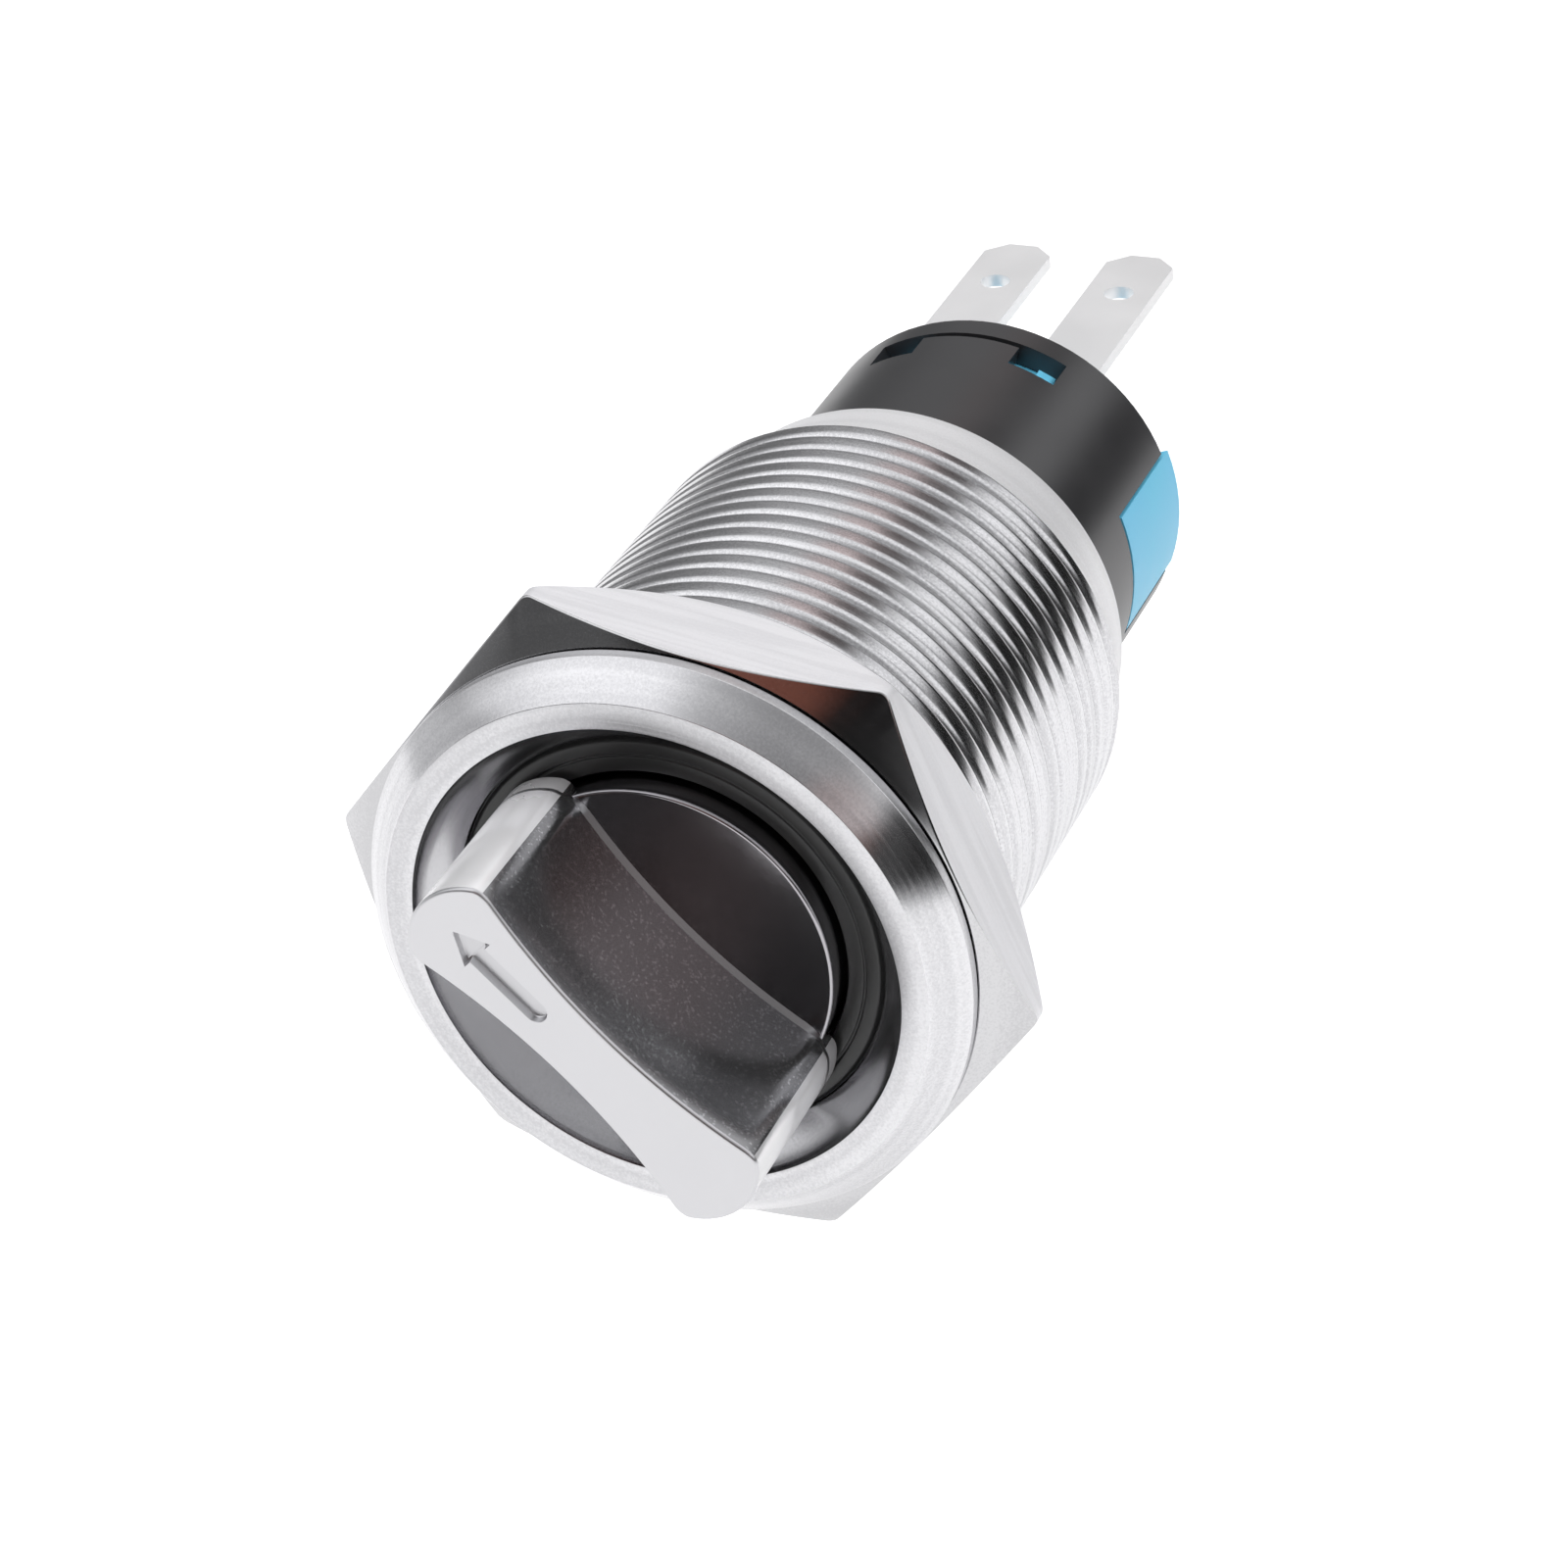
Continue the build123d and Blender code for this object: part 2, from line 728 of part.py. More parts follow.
# Every node, with its solid or solids
nodes = {
    "bezel_body": make_bezel_body(),
    "hex_nut": make_hex_nut(),
    "flange_seal": make_flange_seal(),
    "ring_insert": make_ring_insert(),
    "knob": make_knob(),
    "stem_seal": make_stem_seal(),
    "thrust_washer": make_thrust_washer(),
    "stem_clip": make_stem_clip(),
    "index_plate": make_index_plate(),
    "rotor": make_rotor(),
    "rotor_screw": make_rotor_screw(),
    "plunger": make_plunger(),
    "plunger_spring": make_plunger_spring(),
    "rear_housing": make_rear_housing(),
    "terminal_base": make_terminal_base(),
    "terminal_nc": make_terminal_nc(),
    "terminal_no": make_terminal_no(),
    "terminal_common": make_terminal_common(),
    "fixed_contacts": Compound(make_fixed_contacts()),
    "contact_lever": make_contact_lever(),
    "moving_contact": Compound(make_moving_contact()),
    "lever_spring": make_lever_spring(),
}
for number, turn in enumerate(ball_places(), start=1):
    nodes[f"detent_ball_{number}"] = make_detent_ball(turn)
    nodes[f"detent_spring_{number}"] = make_detent_spring(turn)

os.makedirs("parts", exist_ok=True)
for name, shape in nodes.items():
    export_step(shape, f"parts/{name}.step")
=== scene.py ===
import json
import math
import bmesh
import bpy
from mathutils import Matrix, Vector
from mathutils.geometry import tessellate_polygon

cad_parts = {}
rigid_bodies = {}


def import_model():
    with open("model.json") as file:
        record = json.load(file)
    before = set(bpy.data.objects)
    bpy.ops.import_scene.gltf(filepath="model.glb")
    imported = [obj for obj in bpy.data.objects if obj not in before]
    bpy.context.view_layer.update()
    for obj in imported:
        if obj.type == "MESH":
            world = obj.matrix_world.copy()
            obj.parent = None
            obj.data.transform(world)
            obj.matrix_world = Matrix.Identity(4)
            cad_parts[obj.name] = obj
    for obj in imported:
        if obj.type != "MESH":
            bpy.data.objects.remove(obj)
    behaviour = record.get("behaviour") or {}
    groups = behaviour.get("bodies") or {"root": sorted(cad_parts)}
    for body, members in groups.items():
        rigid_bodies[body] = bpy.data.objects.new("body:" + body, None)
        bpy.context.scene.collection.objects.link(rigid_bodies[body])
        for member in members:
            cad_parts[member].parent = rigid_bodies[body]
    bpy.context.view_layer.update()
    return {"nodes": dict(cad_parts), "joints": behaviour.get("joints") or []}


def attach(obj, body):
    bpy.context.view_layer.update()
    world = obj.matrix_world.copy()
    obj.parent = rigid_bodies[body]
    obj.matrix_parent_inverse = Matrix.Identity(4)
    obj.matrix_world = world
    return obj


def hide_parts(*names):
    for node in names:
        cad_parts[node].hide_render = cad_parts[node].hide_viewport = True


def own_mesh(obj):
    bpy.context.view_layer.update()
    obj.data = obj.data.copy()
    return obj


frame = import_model()

# Lengths are in millimetres and follow the solids. The camera, floor, lamps and weld distances are in metres.
MM = 0.001
ROUND_STEPS = 216
BROKEN_EDGE = 0.05
SKIM = 0.01

# Bezel
FRONT_FACE = -1.6
FACE_R = 9.775
MOUTH_R = 8.8
MOUTH_FLAT = 0.05
MOUTH_EDGE = 0.012
BOWL_FLOOR_R = 7.7
BOWL_FLOOR = -0.1
BOWL_SAG = 0.12
BOWL_SAG_POWER = 0.6
BOWL_STEPS = 12
FLANGE_R = 10.9
FLANGE_EDGE = 0.06
CHAMFER_REAR = -0.44
RELIEF_R = 10.6
RELIEF_FRONT = -0.6
RELIEF_EDGE = 0.03
WEB_FRONT = 1.4
WEB_REAR = 4.4
CAVITY_R = 8.0
CAVITY_FILLET = 0.1
LIP_R = 7.45
LIP_FRONT = 22.2
LAND_FRONT_R = 9.0
LAND_REAR_R = 8.45
LAND_EDGE = 0.25
BARREL_REAR = 22.8
STEM_BORE_R = 2.55

# Thread on the barrel
THREAD_R = 9.5
THREAD_DEPTH = 0.16
THREAD_START = 0.7
THREAD_END = 19.7
THREAD_CREST_END = 19.2
PITCH = 1.0
THREAD_TURNS = 21
THREAD_ROWS = 14
THREAD_CROWDING = 1.7
THREAD_SHARPNESS = 7.0
THREAD_ROUNDING = 0.12

# Black ring in the bowl
RING_R = 7.68
RING_BORE_R = 6.35
RING_FRONT_EDGE = 0.14
RING_SHOULDER_R = 7.5
RING_SHOULDER_EDGE = 0.1
RING_RIM_R = 7.62
RING_RIM = 0.12
RING_RIM_REAR = 0.14
RING_RIM_EDGE = 0.02
RING_GROOVE_R = 6.99
RING_GROOVE_TOP = 0.07
RING_GROOVE_BOTTOM = 0.03
RING_GROOVE_DEPTH = 0.06
RING_GROOVE_EDGE = 0.03

# Knob: a tall bar with an arrow on a flat disc, and its stem
BAR_TURN = math.radians(45)
BAR_FRONT = -7.43
BAR_REAR = -0.35
BAR_WAIST = 1.27
BAR_CORNER = 2.07
BAR_CORNER_REACH = 6.15
BAR_CORNER_EASE = 0.3
BAR_END_REACH = 7.2
BAR_END_START = BAR_CORNER_REACH - 0.05
BAR_SIDE_STEPS = 48
BAR_END_STEPS = 28
BAR_EDGE = 0.13
BAR_EDGE_STEPS = 4
BAR_TOP_INSET = BAR_EDGE * 1.2
BAR_FOOT = 0.17
BAR_DRAFT = 0.27
BAR_DRAFT_STEPS = 8
BAR_FADE = 0.5
ARROW_TIP = 5.85
ARROW_SHOULDER = 4.7
ARROW_HALF_HEAD = 0.725
ARROW_HALF_SHAFT = 0.42
ARROW_TAIL = 2.1
ARROW_TAIL_STEPS = 10
ARROW_NECK_EDGE = 0.04
ARROW_BARB_EDGE = 0.02
ARROW_TIP_EDGE = 0.06
ARROW_DEPTH = 0.25
ARROW_LEVELS = ((0.0, 0.0), (0.02, 0.03), (0.05, ARROW_DEPTH - 0.04), (0.09, ARROW_DEPTH))
ARROW_HEAD_INSET = 1.6
ARROW_TIP_INSET = 1.8
ARROW_FIELD = 1.0
ARROW_FIELD_REACH = 6.0
DISC_FRONT = -1.04
DISC_REAR = 1.1
DISC_R = 6.2
DISC_FRONT_EDGE = 0.12
DISC_REAR_EDGE = 0.1
STEM_R = 2.5
STEM_END = 8.7
STEM_END_EDGE = 0.2
SEAL_GROOVE_R = 1.75
SEAL_GROOVE_FRONT = 2.105
SEAL_GROOVE_REAR = 2.895
CLIP_GROOVE_R = 1.9
CLIP_GROOVE_FRONT = 4.78
CLIP_GROOVE_REAR = 5.27

# Hexagonal nut
NUT_FLAT_R = 11.0
NUT_FLAT_STEPS = 15
NUT_CORNER = 0.502
NUT_CORNER_STEPS = 8
NUT_TURN = math.radians(8.95)
NUT_FRONT = 0.1
NUT_REAR = 3.6
NUT_FRONT_SLOPE = math.tan(math.radians(30))
NUT_REAR_SLOPE = math.tan(math.radians(48))
NUT_BORE_R = 9.55
NUT_MOUTH = 0.3
NUT_EDGE = 0.06
NUT_EDGE_STEPS = 5
NUT_CONE_R = 10.93
NUT_BEVEL_LEAN = 0.3

# Pieces copied from their solids
SPLIT_FLAT = math.radians(0.4)
ROUND_LEAN = 0.02
ROUND_SPREAD = math.cos(math.radians(4.5))

# Camera, at the photograph's viewing angle
CAMERA_LENS = 105.13
CAMERA_SENSOR = 36.0
CAMERA_NEAR = 0.005
CAMERA_FAR = 20.0
CAMERA_RIGHT = (0.92693, 0.36759, -0.07539)
CAMERA_UP = (-0.13067, 0.50454, 0.85344)
CAMERA_BACK = (0.35175, -0.78123, 0.51571)
CAMERA_PLACE = (0.056774, -0.115839, 0.083078)


def place_camera():
    data = bpy.data.cameras.new("camera")
    data.lens = CAMERA_LENS
    data.sensor_width = CAMERA_SENSOR
    data.clip_start = CAMERA_NEAR
    data.clip_end = CAMERA_FAR
    camera = bpy.data.objects.new("camera", data)
    turn = Matrix((CAMERA_RIGHT, CAMERA_UP, CAMERA_BACK)).transposed().to_4x4()
    camera.matrix_world = Matrix.Translation(CAMERA_PLACE) @ turn
    bpy.context.collection.objects.link(camera)
    bpy.context.scene.camera = camera


# Node trees
class Tree:
    """Small helper that adds nodes to a tree and returns their outputs."""

    def __init__(self, owner):
        self.nodes = owner.nodes
        self.links = owner.links

    def feed(self, socket, value):
        if isinstance(value, bpy.types.NodeSocket):
            self.links.new(value, socket)
        elif value is not None:
            socket.default_value = value

    def add(self, kind, inputs=None, **settings):
        node = self.nodes.new(kind)
        for name, value in settings.items():
            setattr(node, name, value)
        for key, value in (inputs or {}).items():
            self.feed(node.inputs[key], value)
        return node

    def math(self, operation, *values, clamp=False):
        node = self.add("ShaderNodeMath", operation=operation, use_clamp=clamp)
        for socket, value in zip(node.inputs, values):
            self.feed(socket, value)
        return node.outputs[0]

    def combine(self, x, y, z):
        return self.add("ShaderNodeCombineXYZ", {"X": x, "Y": y, "Z": z}).outputs[0]

    def separate(self, vector):
        return self.add("ShaderNodeSeparateXYZ", {"Vector": vector}).outputs

    def noise(self, vector, scale, detail, roughness):
        inputs = {"Vector": vector, "Scale": scale, "Detail": detail, "Roughness": roughness}
        return self.add("ShaderNodeTexNoise", inputs).outputs[0]

    def remap(self, value, low, high, to_low, to_high, smooth=True):
        """Value carried from one span to another, and held at the ends."""
        node = self.add("ShaderNodeMapRange", interpolation_type="SMOOTHSTEP" if smooth else "LINEAR")
        for socket, number in zip(node.inputs, (value, low, high, to_low, to_high)):
            self.feed(socket, number)
        return node.outputs[0]

    def blend(self, factor, first, second):
        node = self.add("ShaderNodeMix", data_type="RGBA")
        self.feed(node.inputs["Factor"], factor)
        self.feed(node.inputs[6], first)
        self.feed(node.inputs[7], second)
        return node.outputs[2]

    def group(self, group, inputs):
        return self.add("ShaderNodeGroup", inputs, node_tree=group).outputs


def new_group(name, inputs, outputs):
    """Shader node group with a vector for each input without a default, and a number for each other one."""
    group = bpy.data.node_groups.new(name, "ShaderNodeTree")
    for label, default in inputs.items():
        kind = "NodeSocketVector" if default is None else "NodeSocketFloat"
        socket = group.interface.new_socket(label, in_out="INPUT", socket_type=kind)
        if default is not None:
            socket.default_value = default
    for label in outputs:
        group.interface.new_socket(label, in_out="OUTPUT", socket_type="NodeSocketFloat")
    tree = Tree(group)
    start = group.nodes.new("NodeGroupInput").outputs
    end = group.nodes.new("NodeGroupOutput").inputs
    return group, tree, start, end


# Marks on the surfaces: their fineness is per metre
TONE_WIDENING = 0.16
GRINDING_DRAG = 0.05
GROUND_TONE_SCALE = 0.35
# Grain cells whose tint is above this share become painted glints
PAINTED_GLINT_SHARE = 0.9
AXIS_GUARD = 1e-5


def make_lathe_marks():
    """Fine rings left by the turning tool, round the switch's axis."""
    inputs = {"Vector": None, "Fineness": 9000.0, "Wander": 0.6}
    group, tree, start, end = new_group("lathe marks", inputs, ("Height", "Tone"))
    x, y, z = tree.separate(start["Vector"])
    squares = tree.math("ADD", tree.math("MULTIPLY", x, x), tree.math("MULTIPLY", z, z))
    radius = tree.math("SQRT", squares)
    across = tree.math("MULTIPLY", radius, start["Fineness"])
    along = tree.math("MULTIPLY", y, start["Fineness"])
    safe = tree.math("MAXIMUM", radius, AXIS_GUARD)
    east = tree.math("MULTIPLY", tree.math("DIVIDE", x, safe), start["Wander"])
    north = tree.math("MULTIPLY", tree.math("DIVIDE", z, safe), start["Wander"])
    place = tree.combine(tree.math("ADD", across, east), tree.math("ADD", along, north), north)
    tree.feed(end["Height"], tree.noise(place, 1.0, 3.0, 0.6))
    wide_across = tree.math("MULTIPLY", across, TONE_WIDENING)
    wide_along = tree.math("MULTIPLY", along, TONE_WIDENING)
    wide = tree.combine(wide_across, wide_along, east)
    tree.feed(end["Tone"], tree.noise(wide, 1.0, 2.0, 0.5))
    return group


def make_ground_marks():
    """Fine straight lines left by grinding, square to the switch's axis."""
    inputs = {"Vector": None, "Fineness": 9000.0}
    group, tree, start, end = new_group("ground marks", inputs, ("Height", "Tone"))
    x, y, z = tree.separate(start["Vector"])
    slow = tree.math("MULTIPLY", start["Fineness"], GRINDING_DRAG)
    along = tree.math("MULTIPLY", y, start["Fineness"])
    place = tree.combine(tree.math("MULTIPLY", x, slow), along, tree.math("MULTIPLY", z, slow))
    tree.feed(end["Height"], tree.noise(place, 1.0, 3.0, 0.6))
    tree.feed(end["Tone"], tree.noise(place, GROUND_TONE_SCALE, 2.0, 0.5))
    return group


def make_grain():
    """Even fine grain of a blasted or moulded surface, with a few cells picked out for painted glints."""
    inputs = {"Vector": None, "Fineness": 12000.0}
    group, tree, start, end = new_group("surface grain", inputs, ("Height", "Painted Glints"))
    tree.feed(end["Height"], tree.noise(start["Vector"], start["Fineness"], 2.0, 0.6))
    cells = tree.add("ShaderNodeTexVoronoi", {"Vector": start["Vector"], "Scale": start["Fineness"]})
    tint = tree.add("ShaderNodeSeparateColor", {"Color": cells.outputs["Color"]}).outputs[0]
    tree.feed(end["Painted Glints"], tree.math("GREATER_THAN", tint, PAINTED_GLINT_SHARE))
    return group


def make_handling():
    """Soft uneven patches from handling."""
    inputs = {"Vector": None, "Size": 300.0}
    group, tree, start, end = new_group("handling marks", inputs, ("Patches",))
    tree.feed(end["Patches"], tree.noise(start["Vector"], start["Size"], 4.0, 0.55))
    return group


LATHE_MARKS = make_lathe_marks()
GROUND_MARKS = make_ground_marks()
GRAIN = make_grain()
HANDLING = make_handling()

METAL_GRAIN = 11000.0
METAL_PATCHES = 260.0
GRAINED_PATCHES = 220.0
MARKS_SPAN = (0.3, 0.7)
GRAIN_SPAN = (0.25, 0.75)


def new_material(name, metallic, specular=0.5):
    material = bpy.data.materials.new(name)
    material.use_nodes = True
    tree = Tree(material.node_tree)
    shader = tree.nodes["Principled BSDF"]
    shader.inputs["Metallic"].default_value = metallic
    shader.inputs["Specular IOR Level"].default_value = specular
    place = tree.add("ShaderNodeTexCoord").outputs["Object"]
    return material, tree, shader, place


def bumped(tree, shader, height, depth):
    """Feeds the shader's normal from a height, with the depth in millimetres."""
    inputs = {"Height": height, "Distance": depth * MM}
    tree.feed(shader.inputs["Normal"], tree.add("ShaderNodeBump", inputs).outputs[0])


def worked_metal(name, marks_group, colour, dark, low_rough, high_rough, depth, fineness, speckle, metallic=1.0):
    """Metal with the marks of its cutting tool and a fine speckle."""
    material, tree, shader, place = new_material(name, metallic)
    marks = tree.group(marks_group, {"Vector": place, "Fineness": fineness})
    grain = tree.group(GRAIN, {"Vector": place, "Fineness": METAL_GRAIN})["Height"]
    patches = tree.group(HANDLING, {"Vector": place, "Size": METAL_PATCHES})["Patches"]
    spots = tree.remap(grain, *GRAIN_SPAN, -speckle, speckle, smooth=False)
    tone = tree.math("ADD", tree.remap(marks["Tone"], *MARKS_SPAN, 0.0, 1.0), spots, clamp=True)
    tree.feed(shader.inputs["Base Color"], tree.blend(tone, (*dark, 1.0), (*colour, 1.0)))
    spread = tree.math("MULTIPLY", tree.math("ADD", marks["Height"], patches), 0.5)
    tree.feed(shader.inputs["Roughness"], tree.remap(spread, *MARKS_SPAN, low_rough, high_rough))
    bumped(tree, shader, marks["Height"], depth)
    return material


def turned_metal(name, colour, dark, low_rough, high_rough, depth, fineness=9000.0, speckle=0.5, metallic=1.0):
    """Metal with rings from the lathe."""
    return worked_metal(name, LATHE_MARKS, colour, dark, low_rough, high_rough, depth, fineness, speckle, metallic)


def grained(name, colour, dark, metallic, low_rough, high_rough, depth, fineness, painted_glints=0.0, specular=0.5):
    """Metal or plastic with an even grain and soft patches, and on some a few painted glints: specks of brighter base
    colour that stand in for glints of light.
    """
    material, tree, shader, place = new_material(name, metallic, specular)
    grain = tree.group(GRAIN, {"Vector": place, "Fineness": fineness})
    patches = tree.group(HANDLING, {"Vector": place, "Size": GRAINED_PATCHES})["Patches"]
    base = tree.blend(tree.remap(patches, *MARKS_SPAN, 0.0, 1.0), (*dark, 1.0), (*colour, 1.0))
    # Painted glints: the picked grain cells get a brighter base colour in place of real glints of light
    if painted_glints:
        bright = tuple(min(1.0, part * (1.0 + painted_glints)) for part in colour)
        base = tree.blend(grain["Painted Glints"], base, (*bright, 1.0))
    tree.feed(shader.inputs["Base Color"], base)
    tree.feed(shader.inputs["Roughness"], tree.remap(patches, *MARKS_SPAN, low_rough, high_rough))
    bumped(tree, shader, grain["Height"], depth)
    return material


# Finishes: how each is made, its colour and the darker tone in it, how metallic a grained one is, its least and
# most roughness, the depth and fineness of its marks, and then, for a turned one, its speckle of random tone, for a
# grained one its painted glints, and what else sets it apart
STEEL = (0.76, 0.76, 0.775)
STEEL_DARK = (0.60, 0.60, 0.615)
FINISHES = {
    "satin_face": (turned_metal, STEEL, STEEL_DARK, 0.30, 0.42, 0.004),
    "turned_chamfer": (turned_metal, STEEL, STEEL_DARK, 0.12, 0.20, 0.002, 7000.0),
    "polished_bowl": (turned_metal, (0.58, 0.58, 0.595), (0.47, 0.47, 0.485), 0.14, 0.22, 0.0006, 5000.0),
    "cut_thread": (turned_metal, STEEL, STEEL_DARK, 0.14, 0.21, 0.003, 14000.0, 0.9),
    # Painted highlight: the land at the barrel's end is the bezel's steel made near white and partly diffuse, in place
    # of the bright light it reflects
    "end_land": (turned_metal, (0.98, 0.98, 0.99), (0.89, 0.89, 0.90), 0.40, 0.50, 0.003, 9000.0, 0.7, 0.35),
    # Painted highlight: the nut's flats are near white and partly diffuse steel, in place of the bright light they
    # reflect; their grinding marks are real
    "nut_side": (
        worked_metal, GROUND_MARKS, (0.97, 0.97, 0.99), (0.88, 0.88, 0.90), 0.42, 0.52, 0.003, 9000.0, 0.3, 0.4
    ),
    "nut_bevel": (turned_metal, (0.62, 0.62, 0.63), (0.54, 0.54, 0.55), 0.09, 0.14, 0.001, 5000.0, 0.8),
    "knob_top": (grained, (0.665, 0.665, 0.68), (0.63, 0.63, 0.645), 1.0, 0.28, 0.38, 0.003, 14000.0),
    "knob_foot": (grained, (0.38, 0.38, 0.39), (0.35, 0.35, 0.36), 1.0, 0.30, 0.36, 0.001, 6000.0),
    # Knob side: the 0.5 brightens a few grain cells as painted glints
    "knob_side": (grained, (0.42, 0.42, 0.43), (0.40, 0.40, 0.41), 0.95, 0.15, 0.18, 0.0015, 14000.0, 0.5),
    # Painted shade: the sunk arrow is a little darker than the same metal on the top, to show its hollow
    "knob_arrow": (grained, (0.61, 0.61, 0.625), (0.58, 0.58, 0.595), 1.0, 0.28, 0.38, 0.003, 14000.0),
    # Painted highlight: the bar's rounded ends are near white and partly diffuse, lighter than the same metal on its
    # sides, in place of the light they catch
    "knob_end": (grained, (0.98, 0.98, 0.99), (0.93, 0.93, 0.94), 0.4, 0.20, 0.28, 0.002, 9000.0),
    "knob_disc": (grained, (0.45, 0.44, 0.46), (0.40, 0.39, 0.41), 1.0, 0.11, 0.15, 0.0008, 9000.0),
    "gloss_black": (grained, (0.034, 0.035, 0.035), (0.026, 0.027, 0.027), 0.0, 0.28, 0.38, 0.001, 4000.0),
    "housing_black": (grained, (0.034, 0.034, 0.036), (0.028, 0.028, 0.030), 0.0, 0.28, 0.32, 0.0006, 9000.0, 0.0, 0.8),
    "base_blue": (grained, (0.18, 0.72, 1.0), (0.16, 0.68, 1.0), 0.0, 0.34, 0.44, 0.002, 6000.0),
    # Painted highlight: the tabs are near white and partly diffuse, lighter than plain silver, in place of the strong
    # light on them
    "tab_silver": (grained, (0.98, 0.98, 0.98), (0.95, 0.95, 0.95), 0.6, 0.44, 0.54, 0.003, 6000.0),
    "seal_black": (grained, (0.020, 0.020, 0.020), (0.012, 0.012, 0.012), 0.0, 0.55, 0.70, 0.004, 5000.0),
    "inner_steel": (turned_metal, (0.62, 0.61, 0.60), (0.52, 0.51, 0.50), 0.24, 0.36, 0.003, 5000.0),
    "spring_wire": (grained, (0.55, 0.54, 0.53), (0.46, 0.45, 0.44), 1.0, 0.20, 0.32, 0.002, 6000.0),
    "ball_steel": (grained, (0.80, 0.80, 0.80), (0.74, 0.74, 0.74), 1.0, 0.05, 0.09, 0.0004, 3000.0),
    "cam_white": (grained, (0.78, 0.76, 0.70), (0.72, 0.70, 0.64), 0.0, 0.30, 0.42, 0.002, 5000.0),
    "lever_brass": (grained, (0.83, 0.62, 0.30), (0.74, 0.52, 0.22), 1.0, 0.24, 0.36, 0.002, 5000.0),
    "contact_silver": (grained, (0.90, 0.89, 0.86), (0.82, 0.81, 0.78), 1.0, 0.20, 0.30, 0.002, 5000.0),
}
finish = {key: make(key.replace("_", " "), *values) for key, (make, *values) in FINISHES.items()}


# Mesh helpers
ARC_STEPS = 3
EASE_STEPS = 8
LONGEST_CUT = 0.45
ON_AXIS = 1e-6
WELD = 1e-7
COARSE_WELD = 1e-6


def curved(start, corner, end, t):
    """Point at a share t of the curve from start to end that bends towards a corner."""
    return start * (1 - t) ** 2 + corner * 2 * t * (1 - t) + end * t**2


def softened(corners, closed=True):
    """Outline with each corner (a, b, radius) rounded by a short arc."""
    points = []
    count = len(corners)
    for index, (a, b, radius) in enumerate(corners):
        corner = Vector((a, b))
        if radius == 0 or (not closed and index in (0, count - 1)):
            points.append(corner)
            continue
        before = Vector(corners[index - 1][:2]) - corner
        after = Vector(corners[(index + 1) % count][:2]) - corner
        half = before.angle(after) / 2
        reach = min(radius / math.tan(half), before.length * LONGEST_CUT, after.length * LONGEST_CUT)
        start = corner + before.normalized() * reach
        end = corner + after.normalized() * reach
        points += [curved(start, corner, end, step / ARC_STEPS) for step in range(ARC_STEPS + 1)]
    return points


def around(radius, y, angle):
    """Place at a radius and an angle about the axis, where no angle is straight up."""
    return radius * MM * math.sin(angle), y * MM, radius * MM * math.cos(angle)


def turn_profile(work, profile, closed):
    """Faces turned about the axis from a profile of (radius, y) points."""
    rings = []
    for radius, y in profile:
        if radius < ON_AXIS:
            rings.append([work.verts.new((0, y * MM, 0))] * ROUND_STEPS)
            continue
        angles = [2 * math.pi * step / ROUND_STEPS for step in range(ROUND_STEPS)]
        rings.append([work.verts.new(around(radius, y, angle)) for angle in angles])
    pairs = list(zip(rings, rings[1:]))
    if closed:
        pairs.append((rings[-1], rings[0]))
    for first, second in pairs:
        for step in range(ROUND_STEPS):
            after = (step + 1) % ROUND_STEPS
            corners = list(dict.fromkeys([first[step], first[after], second[after], second[step]]))
            if len(corners) > 2:
                work.faces.new(corners)


def plain_mesh(holder):
    """Mesh of an object with its modifiers applied. The object goes."""
    bpy.context.collection.objects.link(holder)
    graph = bpy.context.evaluated_depsgraph_get()
    mesh = bpy.data.meshes.new_from_object(holder.evaluated_get(graph))
    bpy.data.objects.remove(holder)
    return mesh


def evenly_shaded(mesh, sharp):
    """Smooth shading in which large flats stay flat beside their rounded edges."""
    mesh.shade_smooth()
    mesh.set_sharp_from_angle(angle=math.radians(sharp))
    holder = bpy.data.objects.new("shading", mesh)
    modifier = holder.modifiers.new("shading", "WEIGHTED_NORMAL")
    modifier.keep_sharp = True
    return plain_mesh(holder)


def finished_mesh(name, work, finishes, sharp):
    """Shaded mesh of a bmesh, with a material for each of its finishes."""
    mesh = bpy.data.meshes.new(name)
    work.to_mesh(mesh)
    work.free()
    for key in finishes:
        mesh.materials.append(finish[key])
    return evenly_shaded(mesh, sharp)


def add_piece(name, mesh, body, node):
    """Puts a piece in the scene that rides on its body and stands for its node."""
    piece = bpy.data.objects.new(name, mesh)
    bpy.context.collection.objects.link(piece)
    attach(piece, body)
    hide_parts(node)
    return piece


def finished_piece(name, work, finishes, body, node, sharp):
    """Turns a bmesh into a piece, once its doubles are merged and its faces point outwards."""
    bmesh.ops.remove_doubles(work, verts=work.verts, dist=WELD)
    bmesh.ops.recalc_face_normals(work, faces=work.faces)
    add_piece(name, finished_mesh(name, work, finishes, sharp), body, node)


def paint(faces, finishes, choose):
    """Gives each face the finish that choose names for its middle, in millimetres."""
    for face in faces:
        face.material_index = finishes.index(choose(face.calc_center_median() / MM))


# Bezel, with its thread made by a node tree
ROW_GUARD = 1e-4


